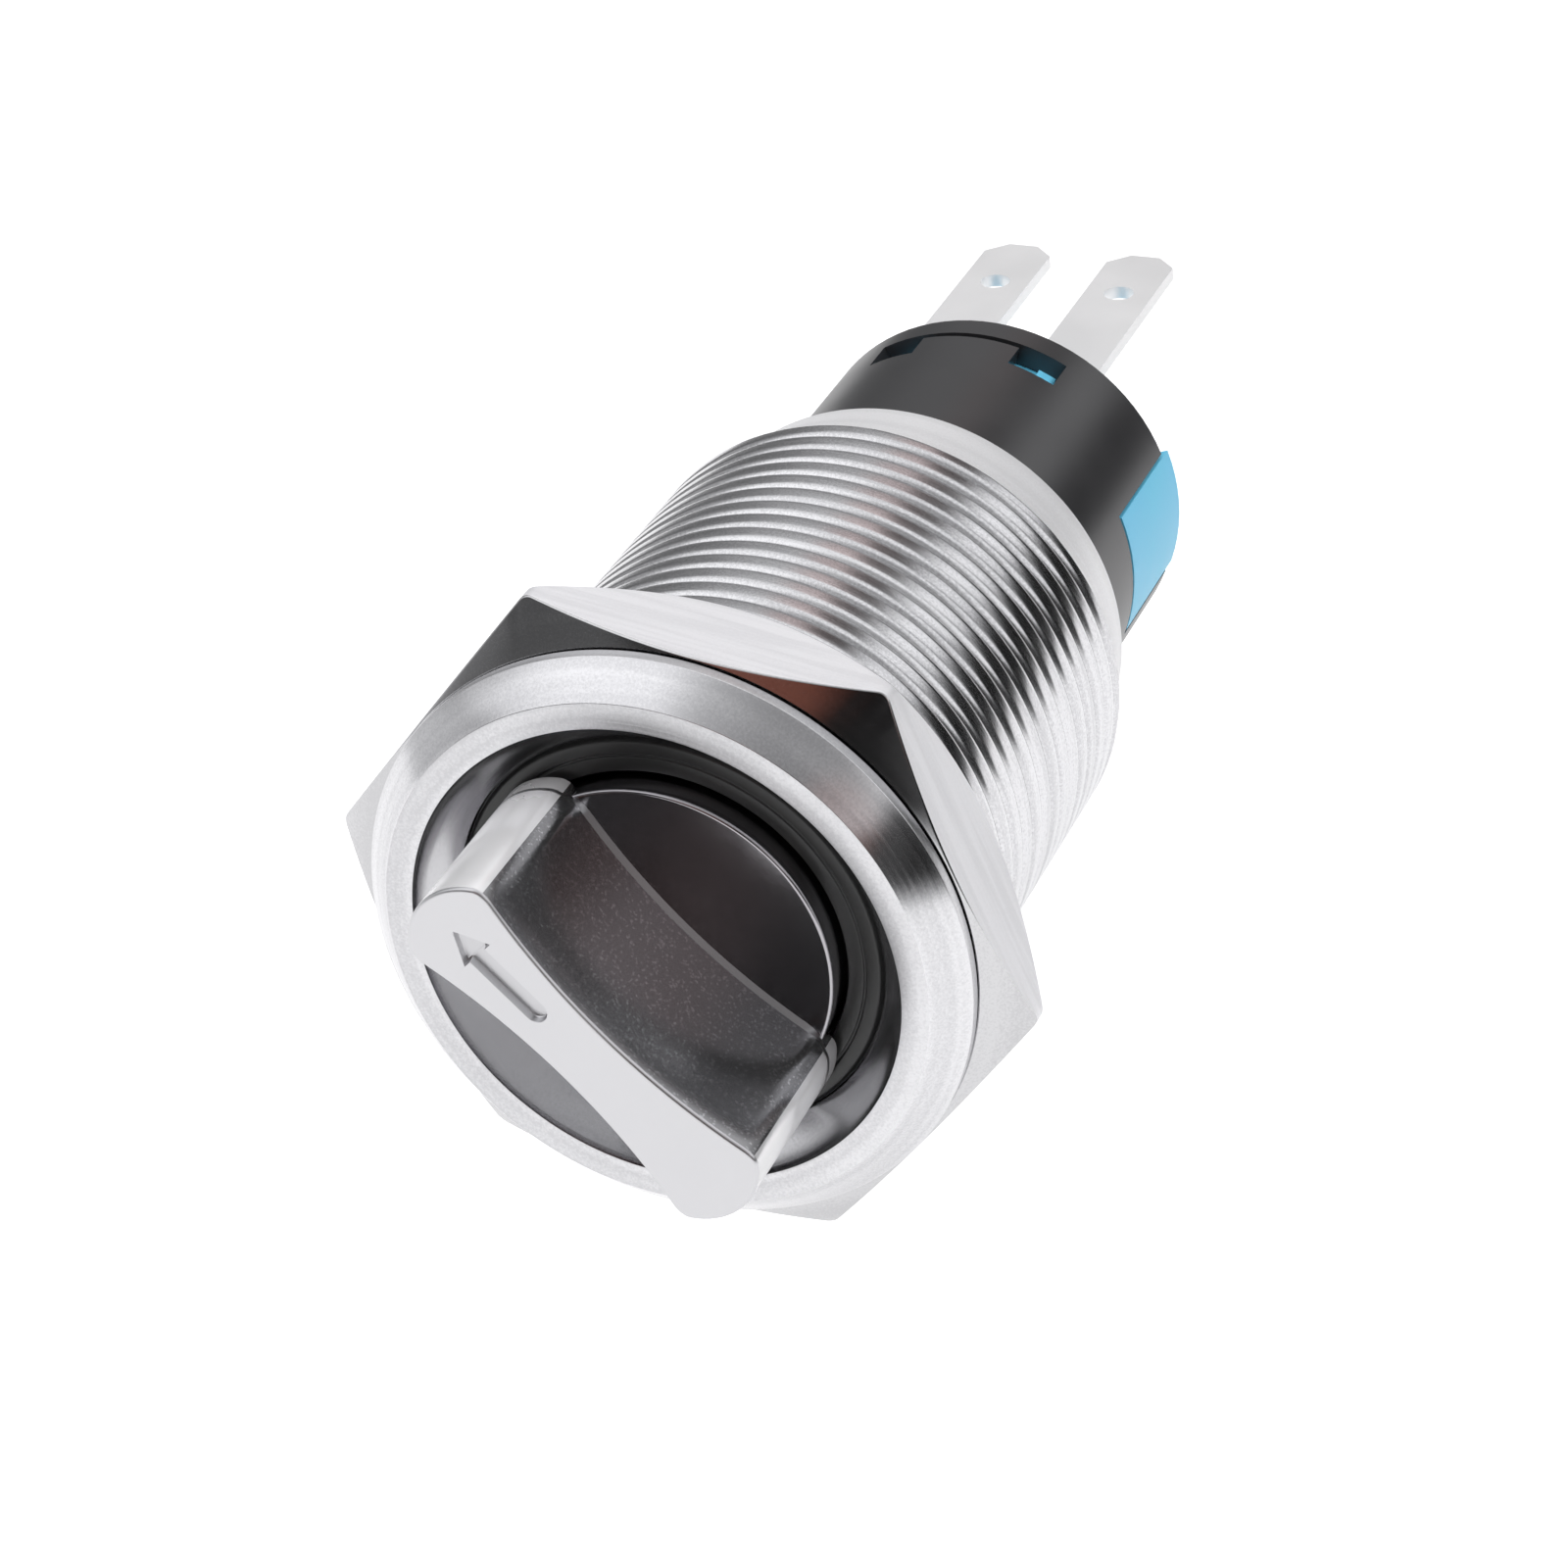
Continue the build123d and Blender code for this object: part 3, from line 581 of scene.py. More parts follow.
def thread_tree():
    """Geometry nodes for a threaded sleeve about the Y axis, with its rows laid along the thread."""
    tree_data = bpy.data.node_groups.new("thread sleeve", "GeometryNodeTree")
    tree_data.interface.new_socket("Geometry", in_out="OUTPUT", socket_type="NodeSocketGeometry")
    sizes = {
        "Crest Radius": THREAD_R,
        "Depth": THREAD_DEPTH,
        "Pitch": PITCH,
        "Start": THREAD_START,
        "End": THREAD_END,
        "Crest End": THREAD_CREST_END,
        "End Radius": LAND_FRONT_R,
    }
    for label, value in sizes.items():
        socket = tree_data.interface.new_socket(label, in_out="INPUT", socket_type="NodeSocketFloat")
        socket.default_value = value * MM
    counts = {"Turns": THREAD_TURNS, "Rows per Turn": THREAD_ROWS, "Steps Round": ROUND_STEPS}
    for label, value in counts.items():
        socket = tree_data.interface.new_socket(label, in_out="INPUT", socket_type="NodeSocketInt")
        socket.default_value = value
    tree_data.interface.new_socket("Material", in_out="INPUT", socket_type="NodeSocketMaterial")
    tree = Tree(tree_data)
    start = tree_data.nodes.new("NodeGroupInput").outputs
    end = tree_data.nodes.new("NodeGroupOutput").inputs
    rows = tree.math("MULTIPLY", start["Turns"], start["Rows per Turn"])
    grid = tree.add("GeometryNodeMeshGrid", {"Size X": 1.0, "Size Y": 1.0})
    tree.feed(grid.inputs["Vertices X"], tree.math("ADD", start["Steps Round"], 1.0))
    tree.feed(grid.inputs["Vertices Y"], tree.math("ADD", rows, 1.0))
    u, v, _ = tree.separate(tree.add("GeometryNodeInputPosition").outputs[0])
    turn = tree.math("ADD", u, 0.5)
    row = tree.math("ROUND", tree.math("MULTIPLY", tree.math("ADD", v, 0.5), rows))
    count = tree.math("DIVIDE", row, start["Rows per Turn"])
    whole = tree.math("FLOOR", tree.math("ADD", count, ROW_GUARD))
    swing = tree.math("MULTIPLY_ADD", tree.math("SUBTRACT", count, whole), 2.0, -1.0)
    far = tree.math("SUBTRACT", 1.0, tree.math("ABSOLUTE", swing))
    spaced = tree.math("POWER", tree.math("MAXIMUM", far, 0.0), THREAD_CROWDING)
    crowded = tree.math("SUBTRACT", 1.0, spaced)
    place = tree.math("MULTIPLY", crowded, tree.math("SIGN", swing))
    within = tree.math("MULTIPLY_ADD", place, 0.5, -0.5)
    along = tree.math("ADD", tree.math("ADD", whole, within), turn)
    raw = tree.math("MULTIPLY", along, start["Pitch"])
    y = tree.math("MINIMUM", tree.math("MAXIMUM", raw, start["Start"]), start["End"])
    turns_at = tree.math("SUBTRACT", tree.math("DIVIDE", y, start["Pitch"]), turn)
    beside = tree.math("MULTIPLY", tree.math("PINGPONG", turns_at, 0.5), 2.0)
    rounding = tree.math("MULTIPLY", tree.math("POWER", beside, 2.0), THREAD_ROUNDING)
    sharp_part = tree.math("POWER", beside, THREAD_SHARPNESS)
    groove = tree.math("MULTIPLY_ADD", sharp_part, 1.0 - THREAD_ROUNDING, rounding)
    run_in = tree.remap(tree.math("SUBTRACT", y, start["Start"]), 0.0, MM, 0.0, 1.0)
    cut = tree.math("MULTIPLY", tree.math("MULTIPLY", groove, run_in), start["Depth"])
    thread = tree.math("SUBTRACT", start["Crest Radius"], cut)
    bevel = tree.math("SUBTRACT", start["Crest Radius"], tree.math("SUBTRACT", y, start["Crest End"]))
    radius = tree.math("MAXIMUM", tree.math("MINIMUM", thread, bevel), start["End Radius"])
    angle = tree.math("MULTIPLY", turn, 2 * math.pi)
    x = tree.math("MULTIPLY", radius, tree.math("SINE", angle))
    z = tree.math("MULTIPLY", radius, tree.math("COSINE", angle))
    position = tree.combine(x, y, z)
    moved = tree.add("GeometryNodeSetPosition", {"Geometry": grid.outputs[0], "Position": position})
    merged = tree.add("GeometryNodeMergeByDistance", {"Geometry": moved.outputs[0], "Distance": COARSE_WELD})
    real = tree.add("GeometryNodeRealizeInstances", {"Geometry": merged.outputs[0]})
    painted = tree.add("GeometryNodeSetMaterial", {"Geometry": real.outputs[0], "Material": start["Material"]})
    tree.feed(end["Geometry"], painted.outputs[0])
    return tree_data


def thread_mesh():
    """Plain mesh of the threaded sleeve."""
    holder = bpy.data.objects.new("thread holder", bpy.data.meshes.new("thread holder"))
    modifier = holder.modifiers.new("thread", "NODES")
    modifier.node_group = thread_tree()
    for item in modifier.node_group.interface.items_tree:
        if item.in_out == "INPUT" and item.name == "Material":
            modifier[item.identifier] = finish["cut_thread"]
    return plain_mesh(holder)


def bowl_curve():
    """Slightly hollow wall of the bowl, from just inside the mouth down to the floor."""
    mouth = Vector((MOUTH_R, FRONT_FACE))
    along = Vector((BOWL_FLOOR_R, BOWL_FLOOR)) - mouth
    outward = Vector((along.y, -along.x)).normalized()
    points = []
    for step in range(1, BOWL_STEPS + 1):
        t = step / BOWL_STEPS
        points.append(mouth + along * t + outward * BOWL_SAG * math.sin(math.pi * t**BOWL_SAG_POWER))
    return points


BEZEL_FINISHES = ("satin_face", "turned_chamfer", "polished_bowl", "cut_thread", "end_land")


def bezel_finish(middle):
    """Finish of the bezel at a place on it."""
    radius = math.hypot(middle.x, middle.z)
    if middle.y < 0 and radius < MOUTH_R + MOUTH_EDGE:
        return "polished_bowl"
    if FRONT_FACE + SKIM < middle.y < CHAMFER_REAR and radius > FACE_R:
        return "turned_chamfer"
    if 0 <= middle.y <= THREAD_START:
        return "cut_thread"
    # The land behind the thread gets the painted highlight
    if middle.y > THREAD_END:
        return "end_land"
    return "satin_face"


def make_bezel():
    """Flange, bowl, web, cavity and land as one turned shell, joined to the thread."""
    front = [
        (THREAD_R, THREAD_START, 0),
        (THREAD_R, RELIEF_FRONT, 0),
        (RELIEF_R, RELIEF_FRONT, 0),
        (RELIEF_R, 0, RELIEF_EDGE),
        (FLANGE_R, 0, FLANGE_EDGE),
        (FLANGE_R, CHAMFER_REAR, FLANGE_EDGE),
        (FACE_R, FRONT_FACE, BROKEN_EDGE),
        (MOUTH_R + MOUTH_FLAT, FRONT_FACE, 0),
        (MOUTH_R + MOUTH_EDGE, FRONT_FACE + MOUTH_EDGE, 0),
    ]
    rear = [
        (BOWL_FLOOR_R, WEB_FRONT, 0),
        (STEM_BORE_R, WEB_FRONT, BROKEN_EDGE),
        (STEM_BORE_R, WEB_REAR, BROKEN_EDGE),
        (CAVITY_R, WEB_REAR, CAVITY_FILLET),
        (CAVITY_R, LIP_FRONT, BROKEN_EDGE),
        (LIP_R, LIP_FRONT, BROKEN_EDGE),
        (LIP_R, BARREL_REAR, BROKEN_EDGE),
        (LAND_REAR_R, BARREL_REAR, LAND_EDGE),
        (LAND_FRONT_R, THREAD_END, 0),
    ]
    work = bmesh.new()
    profile = softened(front, closed=False) + bowl_curve() + softened(rear, closed=False)
    turn_profile(work, profile, closed=False)
    paint(work.faces, BEZEL_FINISHES, bezel_finish)
    turned = len(work.faces)
    work.from_mesh(thread_mesh())
    work.faces.ensure_lookup_table()
    for face in work.faces[turned:]:
        face.material_index = BEZEL_FINISHES.index("cut_thread")
    finished_piece("threaded_bezel", work, BEZEL_FINISHES, "switch_body", "bezel_body", 40.0)


# Knob
def arc_points(first, middle, last, steps):
    """Points on the arc through three points, without the last."""
    first, middle, last = Vector(first), Vector(middle), Vector(last)
    chord = last - first
    half = chord.length / 2
    rise = (middle - (first + last) / 2).dot(Vector((chord.y, -chord.x)).normalized())
    radius = (half * half + rise * rise) / (2 * abs(rise))
    side = Vector((chord.y, -chord.x)).normalized() * math.copysign(1, rise)
    centre = (first + last) / 2 + side * (abs(rise) - radius)
    spread = math.asin(min(1, half / radius))
    points = []
    for step in range(steps):
        turn = spread * (2 * step / steps - 1)
        points.append(centre + side * radius * math.cos(turn) + chord.normalized() * radius * math.sin(turn))
    return points


def bar_outline():
    """Bar seen from the front: across in x, towards the arrow in y, counter-clockwise."""
    side, reach = BAR_CORNER, BAR_CORNER_REACH
    half = arc_points((side, -reach), (BAR_WAIST, 0), (side, reach), BAR_SIDE_STEPS)
    half += arc_points((side, reach), (0, BAR_END_REACH), (-side, reach), BAR_END_STEPS)
    points = half + [-point for point in half]
    for corner in (Vector((side, reach)), Vector((-side, reach))):
        for sign in (1, -1):
            points = rounded_at(points, corner * sign, BAR_CORNER_EASE)
    return points


def rounded_at(points, corner, reach):
    """Replaces the points near a corner by a soft curve."""
    near = [index for index, point in enumerate(points) if (point - corner).length < reach]
    count = len(points)
    start = next(index for index in near if (index - 1) % count not in near)
    end = next(index for index in near if (index + 1) % count not in near)
    before = points[(start - 1) % count]
    after = points[(end + 1) % count]
    curve = [curved(before, corner, after, step / EASE_STEPS) for step in range(1, EASE_STEPS)]
    kept = []
    index = (end + 1) % count
    while index != start:
        kept.append(points[index])
        index = (index + 1) % count
    return kept + curve


def moved_out(points, distances):
    """Outline moved outwards by a distance for each point."""
    count = len(points)
    moved = []
    for index, point in enumerate(points):
        along = points[(index + 1) % count] - points[index - 1]
        outward = Vector((along.y, -along.x)).normalized()
        moved.append(point + outward * distances[index])
    return moved


def bar_place(point, y):
    """Bar coordinates to the part's own, with the bar at its rest turn."""
    x = point.x * math.cos(BAR_TURN) - point.y * math.sin(BAR_TURN)
    z = point.x * math.sin(BAR_TURN) + point.y * math.cos(BAR_TURN)
    return Vector((x, y, z)) * MM


def arrow_outline(inset):
    """Arrow cut in the bar's top, counter-clockwise, drawn in by an inset."""
    head = ARROW_HALF_HEAD - inset * ARROW_HEAD_INSET
    shaft = ARROW_HALF_SHAFT - inset
    shoulder = ARROW_SHOULDER + inset
    tip = ARROW_TIP - inset * ARROW_TIP_INSET
    corners = [
        (shaft, ARROW_TAIL, 0),
        (shaft, shoulder, ARROW_NECK_EDGE),
        (head, shoulder, ARROW_BARB_EDGE),
        (0, tip, ARROW_TIP_EDGE),
        (-head, shoulder, ARROW_BARB_EDGE),
        (-shaft, shoulder, ARROW_NECK_EDGE),
        (-shaft, ARROW_TAIL, 0),
    ]
    points = softened(corners, closed=False)
    for step in range(1, ARROW_TAIL_STEPS):
        turn = math.pi + math.pi * step / ARROW_TAIL_STEPS
        points.append(Vector((shaft * math.cos(turn), ARROW_TAIL + shaft * math.sin(turn))))
    return points


def bridge(work, first, second):
    """Faces between two loops of vertices."""
    for index in range(len(first)):
        after = (index + 1) % len(first)
        work.faces.new([first[index], first[after], second[after], second[index]])


def cap(work, loops, places):
    """Flat cap over an outline, with any further loops as holes."""
    verts = [vert for loop in loops for vert in loop]
    flat = [[Vector((point.x, point.y, 0)) for point in loop] for loop in places]
    for corners in tessellate_polygon(flat):
        if len(set(corners)) == 3:
            work.faces.new([verts[index] for index in corners])


def knob_fade(reach):
    """One up to near the bar's corners, and down to nothing at them."""
    return max(0.0, min(1.0, (BAR_CORNER_REACH - reach) / BAR_FADE))


def bar_levels(outline):
    """Bar from its foot to its top, as levels of y and how far out each point of the outline stands."""
    lean = [BAR_DRAFT * knob_fade(abs(point.y)) for point in outline]
    foot = [BAR_FOOT * knob_fade(point.length) for point in outline]
    foot_level = DISC_FRONT - BAR_FOOT
    edge_level = BAR_FRONT + BAR_EDGE
    levels = [
        (BAR_REAR, [0.0] * len(outline)),
        (DISC_FRONT, [near + reach for near, reach in zip(lean, foot)]),
        (foot_level, lean),
    ]
    for step in range(1, BAR_DRAFT_STEPS):
        rise = step / BAR_DRAFT_STEPS
        levels.append((foot_level + (edge_level - foot_level) * rise, [near * (1 - rise) for near in lean]))
    for step in range(BAR_EDGE_STEPS + 1):
        turn = math.pi / 2 * step / BAR_EDGE_STEPS
        inset = BAR_EDGE * (1 - math.cos(turn))
        levels.append((BAR_FRONT + BAR_EDGE * (1 - math.sin(turn)), [-inset] * len(outline)))
    levels.append((BAR_FRONT, [-BAR_TOP_INSET] * len(outline)))
    return levels


KNOB_FINISHES = ("knob_top", "knob_side", "knob_end", "knob_disc", "knob_foot", "knob_arrow")


def bar_finish(middle):
    """Finish of the bar at a place on it."""
    along = -middle.x * math.sin(BAR_TURN) + middle.z * math.cos(BAR_TURN)
    across = middle.x * math.cos(BAR_TURN) + middle.z * math.sin(BAR_TURN)
    depth = middle.y - BAR_FRONT
    # The sunk arrow's floor and walls get the painted shade
    if abs(across) < ARROW_FIELD and abs(along) < ARROW_FIELD_REACH and SKIM < depth < ARROW_DEPTH + SKIM:
        return "knob_arrow"
    if depth < BAR_EDGE:
        return "knob_top"
    if DISC_FRONT - BAR_FOOT < middle.y < DISC_FRONT:
        return "knob_foot"
    # The bar's ends get the painted highlight, its long sides the plain side finish
    return "knob_end" if abs(along) > BAR_END_START else "knob_side"


def stacked(work, loops):
    """Vertices of outlines at their depths, given as (outline, y), with faces from each to the next."""
    rings = [[work.verts.new(bar_place(point, y)) for point in outline] for outline, y in loops]
    for first, second in zip(rings, rings[1:]):
        bridge(work, first, second)
    return rings[0], rings[-1]


def make_knob():
    """Bar with its sunk arrow, and the disc with its grooved stem, all in one mesh."""
    work = bmesh.new()
    outline = bar_outline()
    bar = [(moved_out(outline, out), y) for y, out in bar_levels(outline)]
    arrow = [(arrow_outline(inset), BAR_FRONT + depth) for inset, depth in ARROW_LEVELS]
    bar_foot, bar_top = stacked(work, bar)
    cap(work, [bar_foot], [outline])
    arrow_rim, arrow_floor = stacked(work, arrow)
    cap(work, [bar_top, arrow_rim], [bar[-1][0], arrow[0][0]])
    cap(work, [arrow_floor], [arrow[-1][0]])
    paint(work.faces, KNOB_FINISHES, bar_finish)
    bar_faces = len(work.faces)
    disc = [
        (0, DISC_FRONT, 0),
        (DISC_R, DISC_FRONT, DISC_FRONT_EDGE),
        (DISC_R, DISC_REAR, DISC_REAR_EDGE),
        (STEM_R, DISC_REAR, BROKEN_EDGE),
        (STEM_R, SEAL_GROOVE_FRONT, 0),
        (SEAL_GROOVE_R, SEAL_GROOVE_FRONT, 0),
        (SEAL_GROOVE_R, SEAL_GROOVE_REAR, 0),
        (STEM_R, SEAL_GROOVE_REAR, 0),
        (STEM_R, CLIP_GROOVE_FRONT, 0),
        (CLIP_GROOVE_R, CLIP_GROOVE_FRONT, 0),
        (CLIP_GROOVE_R, CLIP_GROOVE_REAR, 0),
        (STEM_R, CLIP_GROOVE_REAR, 0),
        (STEM_R, STEM_END, STEM_END_EDGE),
        (0, STEM_END, 0),
    ]
    turn_profile(work, softened(disc, closed=False), closed=False)
    work.faces.ensure_lookup_table()
    for face in work.faces[bar_faces:]:
        face.material_index = KNOB_FINISHES.index("knob_disc")
    finished_piece("pointer_knob", work, KNOB_FINISHES, "knob_body", "knob", 40.0)


def make_ring():
    """Black ring with a fine groove, in the bottom of the bowl."""
    groove_floor = BOWL_FLOOR + RING_GROOVE_DEPTH
    profile = [
        (RING_R, WEB_FRONT, BROKEN_EDGE),
        (RING_BORE_R, WEB_FRONT, BROKEN_EDGE),
        (RING_BORE_R, BOWL_FLOOR, RING_FRONT_EDGE),
        (RING_GROOVE_R - RING_GROOVE_TOP, BOWL_FLOOR, RING_GROOVE_EDGE),
        (RING_GROOVE_R - RING_GROOVE_BOTTOM, groove_floor, RING_GROOVE_EDGE),
        (RING_GROOVE_R + RING_GROOVE_BOTTOM, groove_floor, RING_GROOVE_EDGE),
        (RING_GROOVE_R + RING_GROOVE_TOP, BOWL_FLOOR, RING_GROOVE_EDGE),
        (RING_SHOULDER_R, BOWL_FLOOR, RING_SHOULDER_EDGE),
        (RING_RIM_R, RING_RIM, BROKEN_EDGE),
        (RING_R, RING_RIM_REAR, RING_RIM_EDGE),
    ]
    work = bmesh.new()
    turn_profile(work, softened(profile), closed=True)
    finished_piece("bowl_ring", work, ("gloss_black",), "switch_body", "ring_insert", 30.0)


# Nut
def nut_outline():
    """Rounded hexagon as (radius, angle) points about the axis."""
    inner = NUT_FLAT_R - NUT_CORNER
    centre = inner / math.cos(math.radians(30))
    reach = inner * math.tan(math.radians(30))
    points = []
    for side in range(6):
        middle = NUT_TURN + math.radians(60 * side)
        for step in range(-NUT_FLAT_STEPS, NUT_FLAT_STEPS + 1):
            along = reach * step / NUT_FLAT_STEPS
            points.append((math.hypot(NUT_FLAT_R, along), middle + math.atan2(along, NUT_FLAT_R)))
        for step in range(1, NUT_CORNER_STEPS):
            turn = math.radians(60 * step / NUT_CORNER_STEPS - 30)
            out = centre + NUT_CORNER * math.cos(turn)
            beside = NUT_CORNER * math.sin(turn)
            points.append((math.hypot(out, beside), middle + math.radians(30) + math.atan2(beside, out)))
    return points


def nut_section(radius):
    """Section of the nut as (radius, y) points, from the bore out to one point of its outline and back."""
    near = radius - NUT_EDGE
    out, close = radius - NUT_CONE_R, near - NUT_CONE_R
    front_edge = NUT_FRONT + out * NUT_FRONT_SLOPE
    rear_edge = NUT_REAR - out * NUT_REAR_SLOPE
    curves = (
        ((near, NUT_FRONT + close * NUT_FRONT_SLOPE), (radius, front_edge), (radius, front_edge + NUT_EDGE)),
        ((radius, rear_edge - NUT_EDGE), (radius, rear_edge), (near, NUT_REAR - close * NUT_REAR_SLOPE)),
    )
    points = [(NUT_BORE_R, NUT_FRONT + NUT_MOUTH), (NUT_BORE_R + NUT_MOUTH, NUT_FRONT), (NUT_CONE_R, NUT_FRONT)]
    for curve in curves:
        for step in range(NUT_EDGE_STEPS + 1):
            points.append(tuple(curved(*ends, step / NUT_EDGE_STEPS) for ends in zip(*curve)))
    points += [(NUT_CONE_R, NUT_REAR), (NUT_BORE_R + NUT_MOUTH, NUT_REAR), (NUT_BORE_R, NUT_REAR - NUT_MOUTH)]
    return points


NUT_FINISHES = ("nut_side", "nut_bevel")


def make_nut():
    """Hexagonal nut with a bevel at each end."""
    work = bmesh.new()
    loops = []
    for radius, angle in nut_outline():
        loops.append([work.verts.new(around(r, y, angle)) for r, y in nut_section(radius)])
    for index, loop in enumerate(loops):
        bridge(work, loop, loops[(index + 1) % len(loops)])
    work.normal_update()
    for face in work.faces:
        bevelled = abs(face.normal.y) > NUT_BEVEL_LEAN
        # Faces that are not bevels get the flats' painted highlight
        face.material_index = NUT_FINISHES.index("nut_bevel" if bevelled else "nut_side")
    finished_piece("lock_nut", work, NUT_FINISHES, "nut", "hex_nut", 25.0)


# Pieces that are copies of their solids
def solid_copy(name, node, key, body, sharp):
    """Copy of a node's solid with its flat faces whole again, in one finish."""
    source = frame["nodes"][node]
    work = bmesh.new()
    work.from_mesh(source.data)
    work.transform(source.matrix_world)
    bmesh.ops.remove_doubles(work, verts=work.verts, dist=COARSE_WELD)
    bmesh.ops.dissolve_limit(work, angle_limit=SPLIT_FLAT, verts=work.verts, edges=work.edges)
    return add_piece(name, finished_mesh(name, work, (key,), sharp), body, node)


def round_about_axis(mesh):
    """Exact normals on the faces that are round about the axis, so that the windows cut in them leave no marks."""
    normals = [corner.vector.copy() for corner in mesh.corner_normals]
    for face in mesh.polygons:
        places = [mesh.vertices[index].co for index in face.vertices]
        outward = [Vector((place.x, 0, place.z)).normalized() for place in places]
        if abs(face.normal.y) < ROUND_LEAN and min(face.normal.dot(way) for way in outward) > ROUND_SPREAD:
            for corner, way in zip(face.loop_indices, outward):
                normals[corner] = way
    mesh.normals_split_custom_set(normals)


def make_spring(node, joint):
    """Copy of a spring's solid in the wire finish, in a mesh of its own, riding on the body its joint hangs from."""
    spring = solid_copy(f"{node}_coil", node, "spring_wire", joint["parent"], 50.0)
    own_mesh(spring)


# Solids that are shown as they are, with their finishes
CARRIED = {
    "flange_seal": "seal_black",
    "stem_seal": "seal_black",
    "thrust_washer": "inner_steel",
    "stem_clip": "spring_wire",
    "index_plate": "inner_steel",
    "rotor": "cam_white",
    "rotor_screw": "inner_steel",
    "plunger": "cam_white",
    "detent_ball_1": "ball_steel",
    "detent_ball_2": "ball_steel",
    "contact_lever": "lever_brass",
    "moving_contact": "contact_silver",
    "fixed_contacts": "contact_silver",
    # The three tabs carry the painted highlight
    "terminal_nc": "tab_silver",
    "terminal_no": "tab_silver",
    "terminal_common": "tab_silver",
}


# Studio: a pale floor, and a tent round it whose patches the steel reflects
FLOOR_REACH = 0.3
FLOOR_HEIGHT = -0.03
FLOOR_COLOUR = (0.90, 0.90, 0.90, 1.0)
FLOOR_SEEN = 0.48
FLOOR_REFLECTED = 0.32
WHITE = (1.0, 1.0, 1.0, 1.0)
TENT_COLOUR = (1.0, 1.0, 1.015, 1.0)
TENT_ROSY = (0.97, 0.82, 0.81, 1.0)
TENT_WARM = (0.62, 0.20, 0.13, 1.0)
TENT_LEAST = 0.1

# Each patch of the tent: its direction, the cosines where it starts and where it is full, and its level
PATCHES = {
    "corner": ((0.62, -0.58, 0.53), 0.95, 0.985, 0.7),
    "bright": ((-0.38, -0.46, 0.80), 0.75, 0.98, 0.25),
    "grey": ((0.33, -0.60, 0.73), 0.80, 0.95, 0.62),
    "rear left": ((-0.68, 0.68, 0.28), 0.84, 0.985, 0.75),
    "left": ((-0.85, 0.25, 0.46), 0.88, 0.98, 0.62),
    "rear gap": ((0.38, 0.83, 0.41), 0.972, 0.993, 0.70),
    "rear edge": ((0.19, 0.81, 0.555), 0.978, 0.996, 0.50),
    "strip right": ((0.66, -0.69, 0.27), 0.93, 0.975, 0.05),
    "strip left": ((-0.66, -0.70, 0.28), 0.93, 0.98, 0.10),
    "rosy": ((0.03, 0.81, 0.585), 0.97, 0.995, 1.0),
    "near nut": ((-0.03, -0.905, 0.42), 0.960, 0.990, 0.32),
    "near knob": ((0.625, -0.69, 0.37), 0.970, 0.990, 0.16),
}

# The dark strip round the tent: where the front begins to raise and widen it, its height and half its width
# behind and what the front adds to them, its soft edges, and how it fades from one side to the other
STRIP_FRONT = (0.0, 0.85)
STRIP_HEIGHT = 0.08
STRIP_RISE = 0.20
STRIP_HALF = 0.19
STRIP_WIDENING = 0.16
STRIP_EDGES = (0.65, 1.2)
STRIP_SIDE_X = 0.8
STRIP_SIDE_Y = 0.55
STRIP_SIDE = (-0.75, -0.25)
STRIP_LEVELS = (0.35, 0.98)

# The grey behind: the heights where it starts and ends, where it begins, and its level
REAR_LEFT_FLOOR = (-0.08, 0.06)
REAR_START = (0.25, 0.65)
REAR_LEVEL = 0.64
REAR_FLOOR = (-0.20, -0.08)
REAR_TOP = (0.40, 0.85)

# Each lamp: its place, its size and its power
LAMPS = {
    "key lamp": ((-0.22, -0.26, 0.46), 0.50, 0.85),
    "fill lamp": ((0.40, 0.10, 0.40), 0.30, 0.35),
}


def make_floor():
    """Pale floor that casts back little light but shows white, also in what the steel reflects."""
    reach, height = FLOOR_REACH, FLOOR_HEIGHT
    mesh = bpy.data.meshes.new("floor")
    corners = [(-reach, -reach, height), (reach, -reach, height), (reach, reach, height), (-reach, reach, height)]
    mesh.from_pydata(corners, [], [(0, 1, 2, 3)])
    material = bpy.data.materials.new("pale floor")
    material.use_nodes = True
    tree = Tree(material.node_tree)
    shader = tree.nodes["Principled BSDF"]
    shader.inputs["Base Color"].default_value = FLOOR_COLOUR
    shader.inputs["Roughness"].default_value = 1.0
    shader.inputs["Specular IOR Level"].default_value = 0.0
    shader.inputs["Emission Color"].default_value = WHITE
    path = tree.add("ShaderNodeLightPath").outputs
    reflected = tree.math("MAXIMUM", path["Is Glossy Ray"], path["Is Transmission Ray"])
    seen = tree.math("MULTIPLY", path["Is Camera Ray"], FLOOR_SEEN)
    tree.feed(shader.inputs["Emission Strength"], tree.math("MULTIPLY_ADD", reflected, FLOOR_REFLECTED, seen))
    mesh.materials.append(material)
    floor = bpy.data.objects.new("floor", mesh)
    bpy.context.collection.objects.link(floor)


def patch(tree, direction, toward, start, full, level):
    """Soft round patch on the tent, in one direction."""
    dot = tree.add("ShaderNodeVectorMath", operation="DOT_PRODUCT")
    tree.feed(dot.inputs[0], direction)
    dot.inputs[1].default_value = Vector(toward).normalized()
    return tree.remap(dot.outputs["Value"], start, full, 0.0, level)


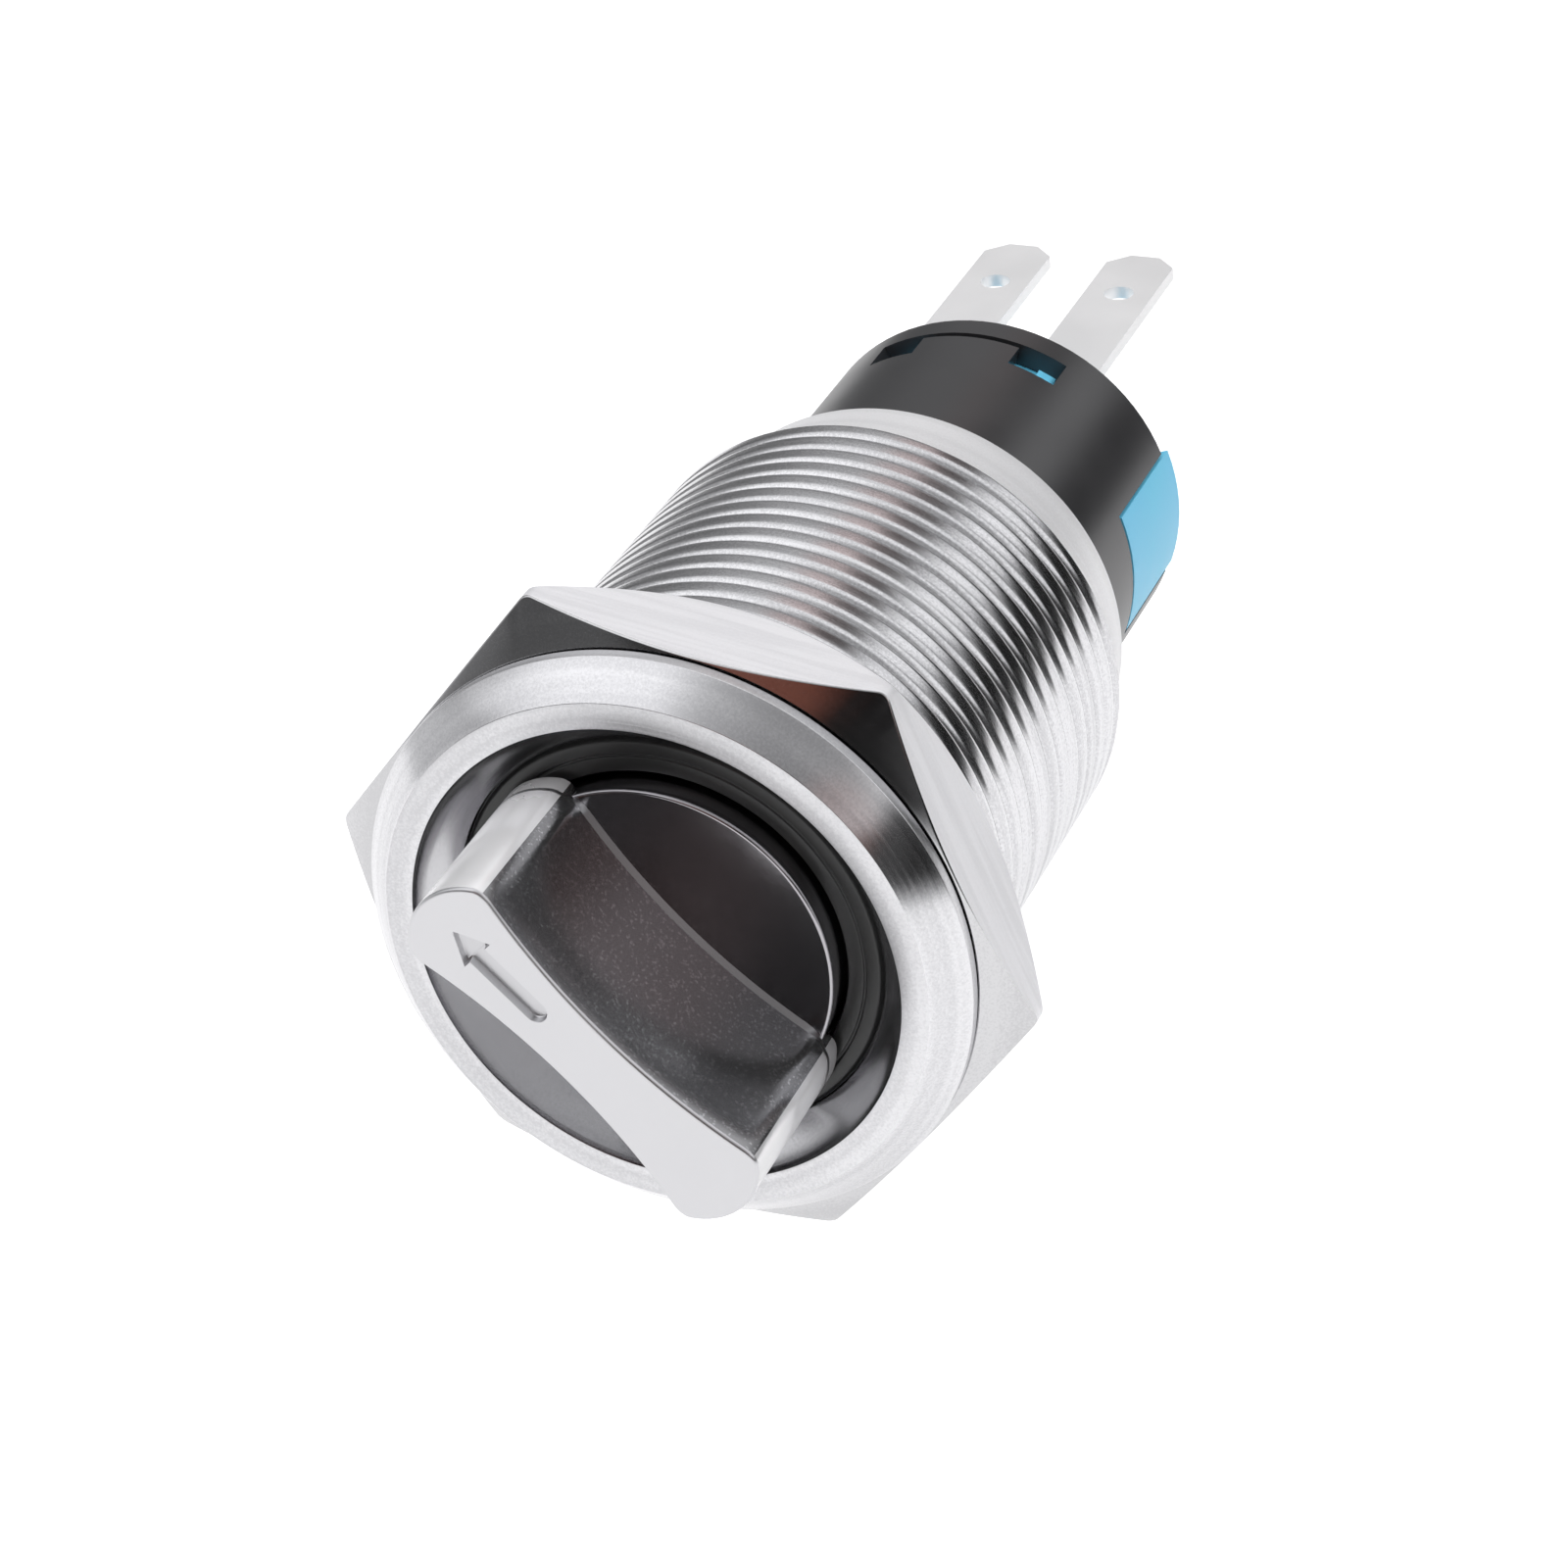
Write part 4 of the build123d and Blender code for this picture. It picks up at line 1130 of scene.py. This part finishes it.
def dark_strip(tree, x, y, z, corner):
    """Dark strip round the tent, higher and wider in front, with a gap where the corner patch is."""
    front = tree.remap(tree.math("MULTIPLY", y, -1.0), *STRIP_FRONT, 0.0, 1.0)
    height = tree.math("MULTIPLY_ADD", front, STRIP_RISE, STRIP_HEIGHT)
    half = tree.math("MULTIPLY_ADD", front, STRIP_WIDENING, STRIP_HALF)
    away = tree.math("DIVIDE", tree.math("ABSOLUTE", tree.math("SUBTRACT", z, height)), half)
    strip = tree.remap(away, *STRIP_EDGES, 1.0, 0.0)
    side = tree.math("SUBTRACT", tree.math("MULTIPLY", x, STRIP_SIDE_X), tree.math("MULTIPLY", y, STRIP_SIDE_Y))
    strip = tree.math("MULTIPLY", strip, tree.remap(side, *STRIP_SIDE, *STRIP_LEVELS))
    return tree.math("MULTIPLY", strip, tree.math("SUBTRACT", 1.0, corner))


def tent_level(tree, x, y, z, patches):
    """Brightness of the tent: one, less its grey patches, plus its brighter ones, cut by the dark strip."""
    rear_left = tree.math("MULTIPLY", patches["rear left"], tree.remap(z, *REAR_LEFT_FLOOR, 0.0, 1.0))
    behind = tree.remap(y, *REAR_START, 0.0, REAR_LEVEL)
    rear_low = tree.math("MULTIPLY", behind, tree.remap(z, *REAR_TOP, 1.0, 0.0))
    rear_low = tree.math("MULTIPLY", rear_low, tree.remap(z, *REAR_FLOOR, 0.0, 1.0))
    darker = tree.math("MAXIMUM", tree.math("MAXIMUM", rear_left, rear_low), patches["left"])
    for name in ("grey", "rear edge"):
        darker = tree.math("ADD", darker, patches[name])
    lighter = tree.math("ADD", patches["bright"], patches["rear gap"])
    level = tree.math("ADD", tree.math("SUBTRACT", 1.0, darker), lighter)
    level = tree.math("MAXIMUM", level, TENT_LEAST)
    strip = dark_strip(tree, x, y, z, patches["corner"])
    level = tree.math("MULTIPLY", level, tree.math("SUBTRACT", 1.0, strip))
    for name in ("strip right", "strip left"):
        level = tree.math("ADD", level, patches[name])
    return level


def make_world():
    """Pale studio tent that shows white to the camera."""
    world = bpy.data.worlds.new("studio")
    bpy.context.scene.world = world
    world.use_nodes = True
    tree = Tree(world.node_tree)
    direction = tree.add("ShaderNodeTexCoord").outputs["Generated"]
    x, y, z = tree.separate(direction)
    patches = {name: patch(tree, direction, *values) for name, values in PATCHES.items()}
    level = tent_level(tree, x, y, z, patches)
    tint = tree.blend(patches["rosy"], TENT_COLOUR, TENT_ROSY)
    warmth = tree.math("ADD", patches["near nut"], patches["near knob"])
    tent = tree.add("ShaderNodeBackground", {"Color": tint, "Strength": level})
    warm = tree.add("ShaderNodeBackground", {"Color": TENT_WARM, "Strength": warmth})
    white = tree.add("ShaderNodeBackground", {"Color": WHITE, "Strength": 1.0})
    both = tree.add("ShaderNodeAddShader", {0: tent.outputs[0], 1: warm.outputs[0]})
    seen = tree.add("ShaderNodeLightPath").outputs["Is Camera Ray"]
    mixed = tree.add("ShaderNodeMixShader", {0: seen, 1: both.outputs[0], 2: white.outputs[0]})
    tree.feed(tree.nodes["World Output"].inputs["Surface"], mixed.outputs[0])


def soft_lamp(name, place, size, power):
    data = bpy.data.lights.new(name, "AREA")
    data.shape = "DISK"
    data.size = size
    data.energy = power
    lamp = bpy.data.objects.new(name, data)
    lamp.location = place
    lamp.rotation_euler = (-Vector(place)).to_track_quat("-Z", "Y").to_euler()
    lamp.visible_glossy = False
    bpy.context.collection.objects.link(lamp)


place_camera()
make_bezel()
make_knob()
make_ring()
make_nut()
for piece in (
    solid_copy("housing_shell", "rear_housing", "housing_black", "switch_body", 30.0),
    solid_copy("blue_base", "terminal_base", "base_blue", "switch_body", 30.0),
):
    round_about_axis(piece.data)
for joint in frame["joints"]:
    for held in joint.get("deforming_nodes", []):
        make_spring(held["node"], joint)
for node, key in CARRIED.items():
    materials = frame["nodes"][node].data.materials
    materials.clear()
    materials.append(finish[key])
make_floor()
make_world()
for name, (place, size, power) in LAMPS.items():
    soft_lamp(name, place, size, power)
bpy.context.scene.view_settings.view_transform = "Standard"
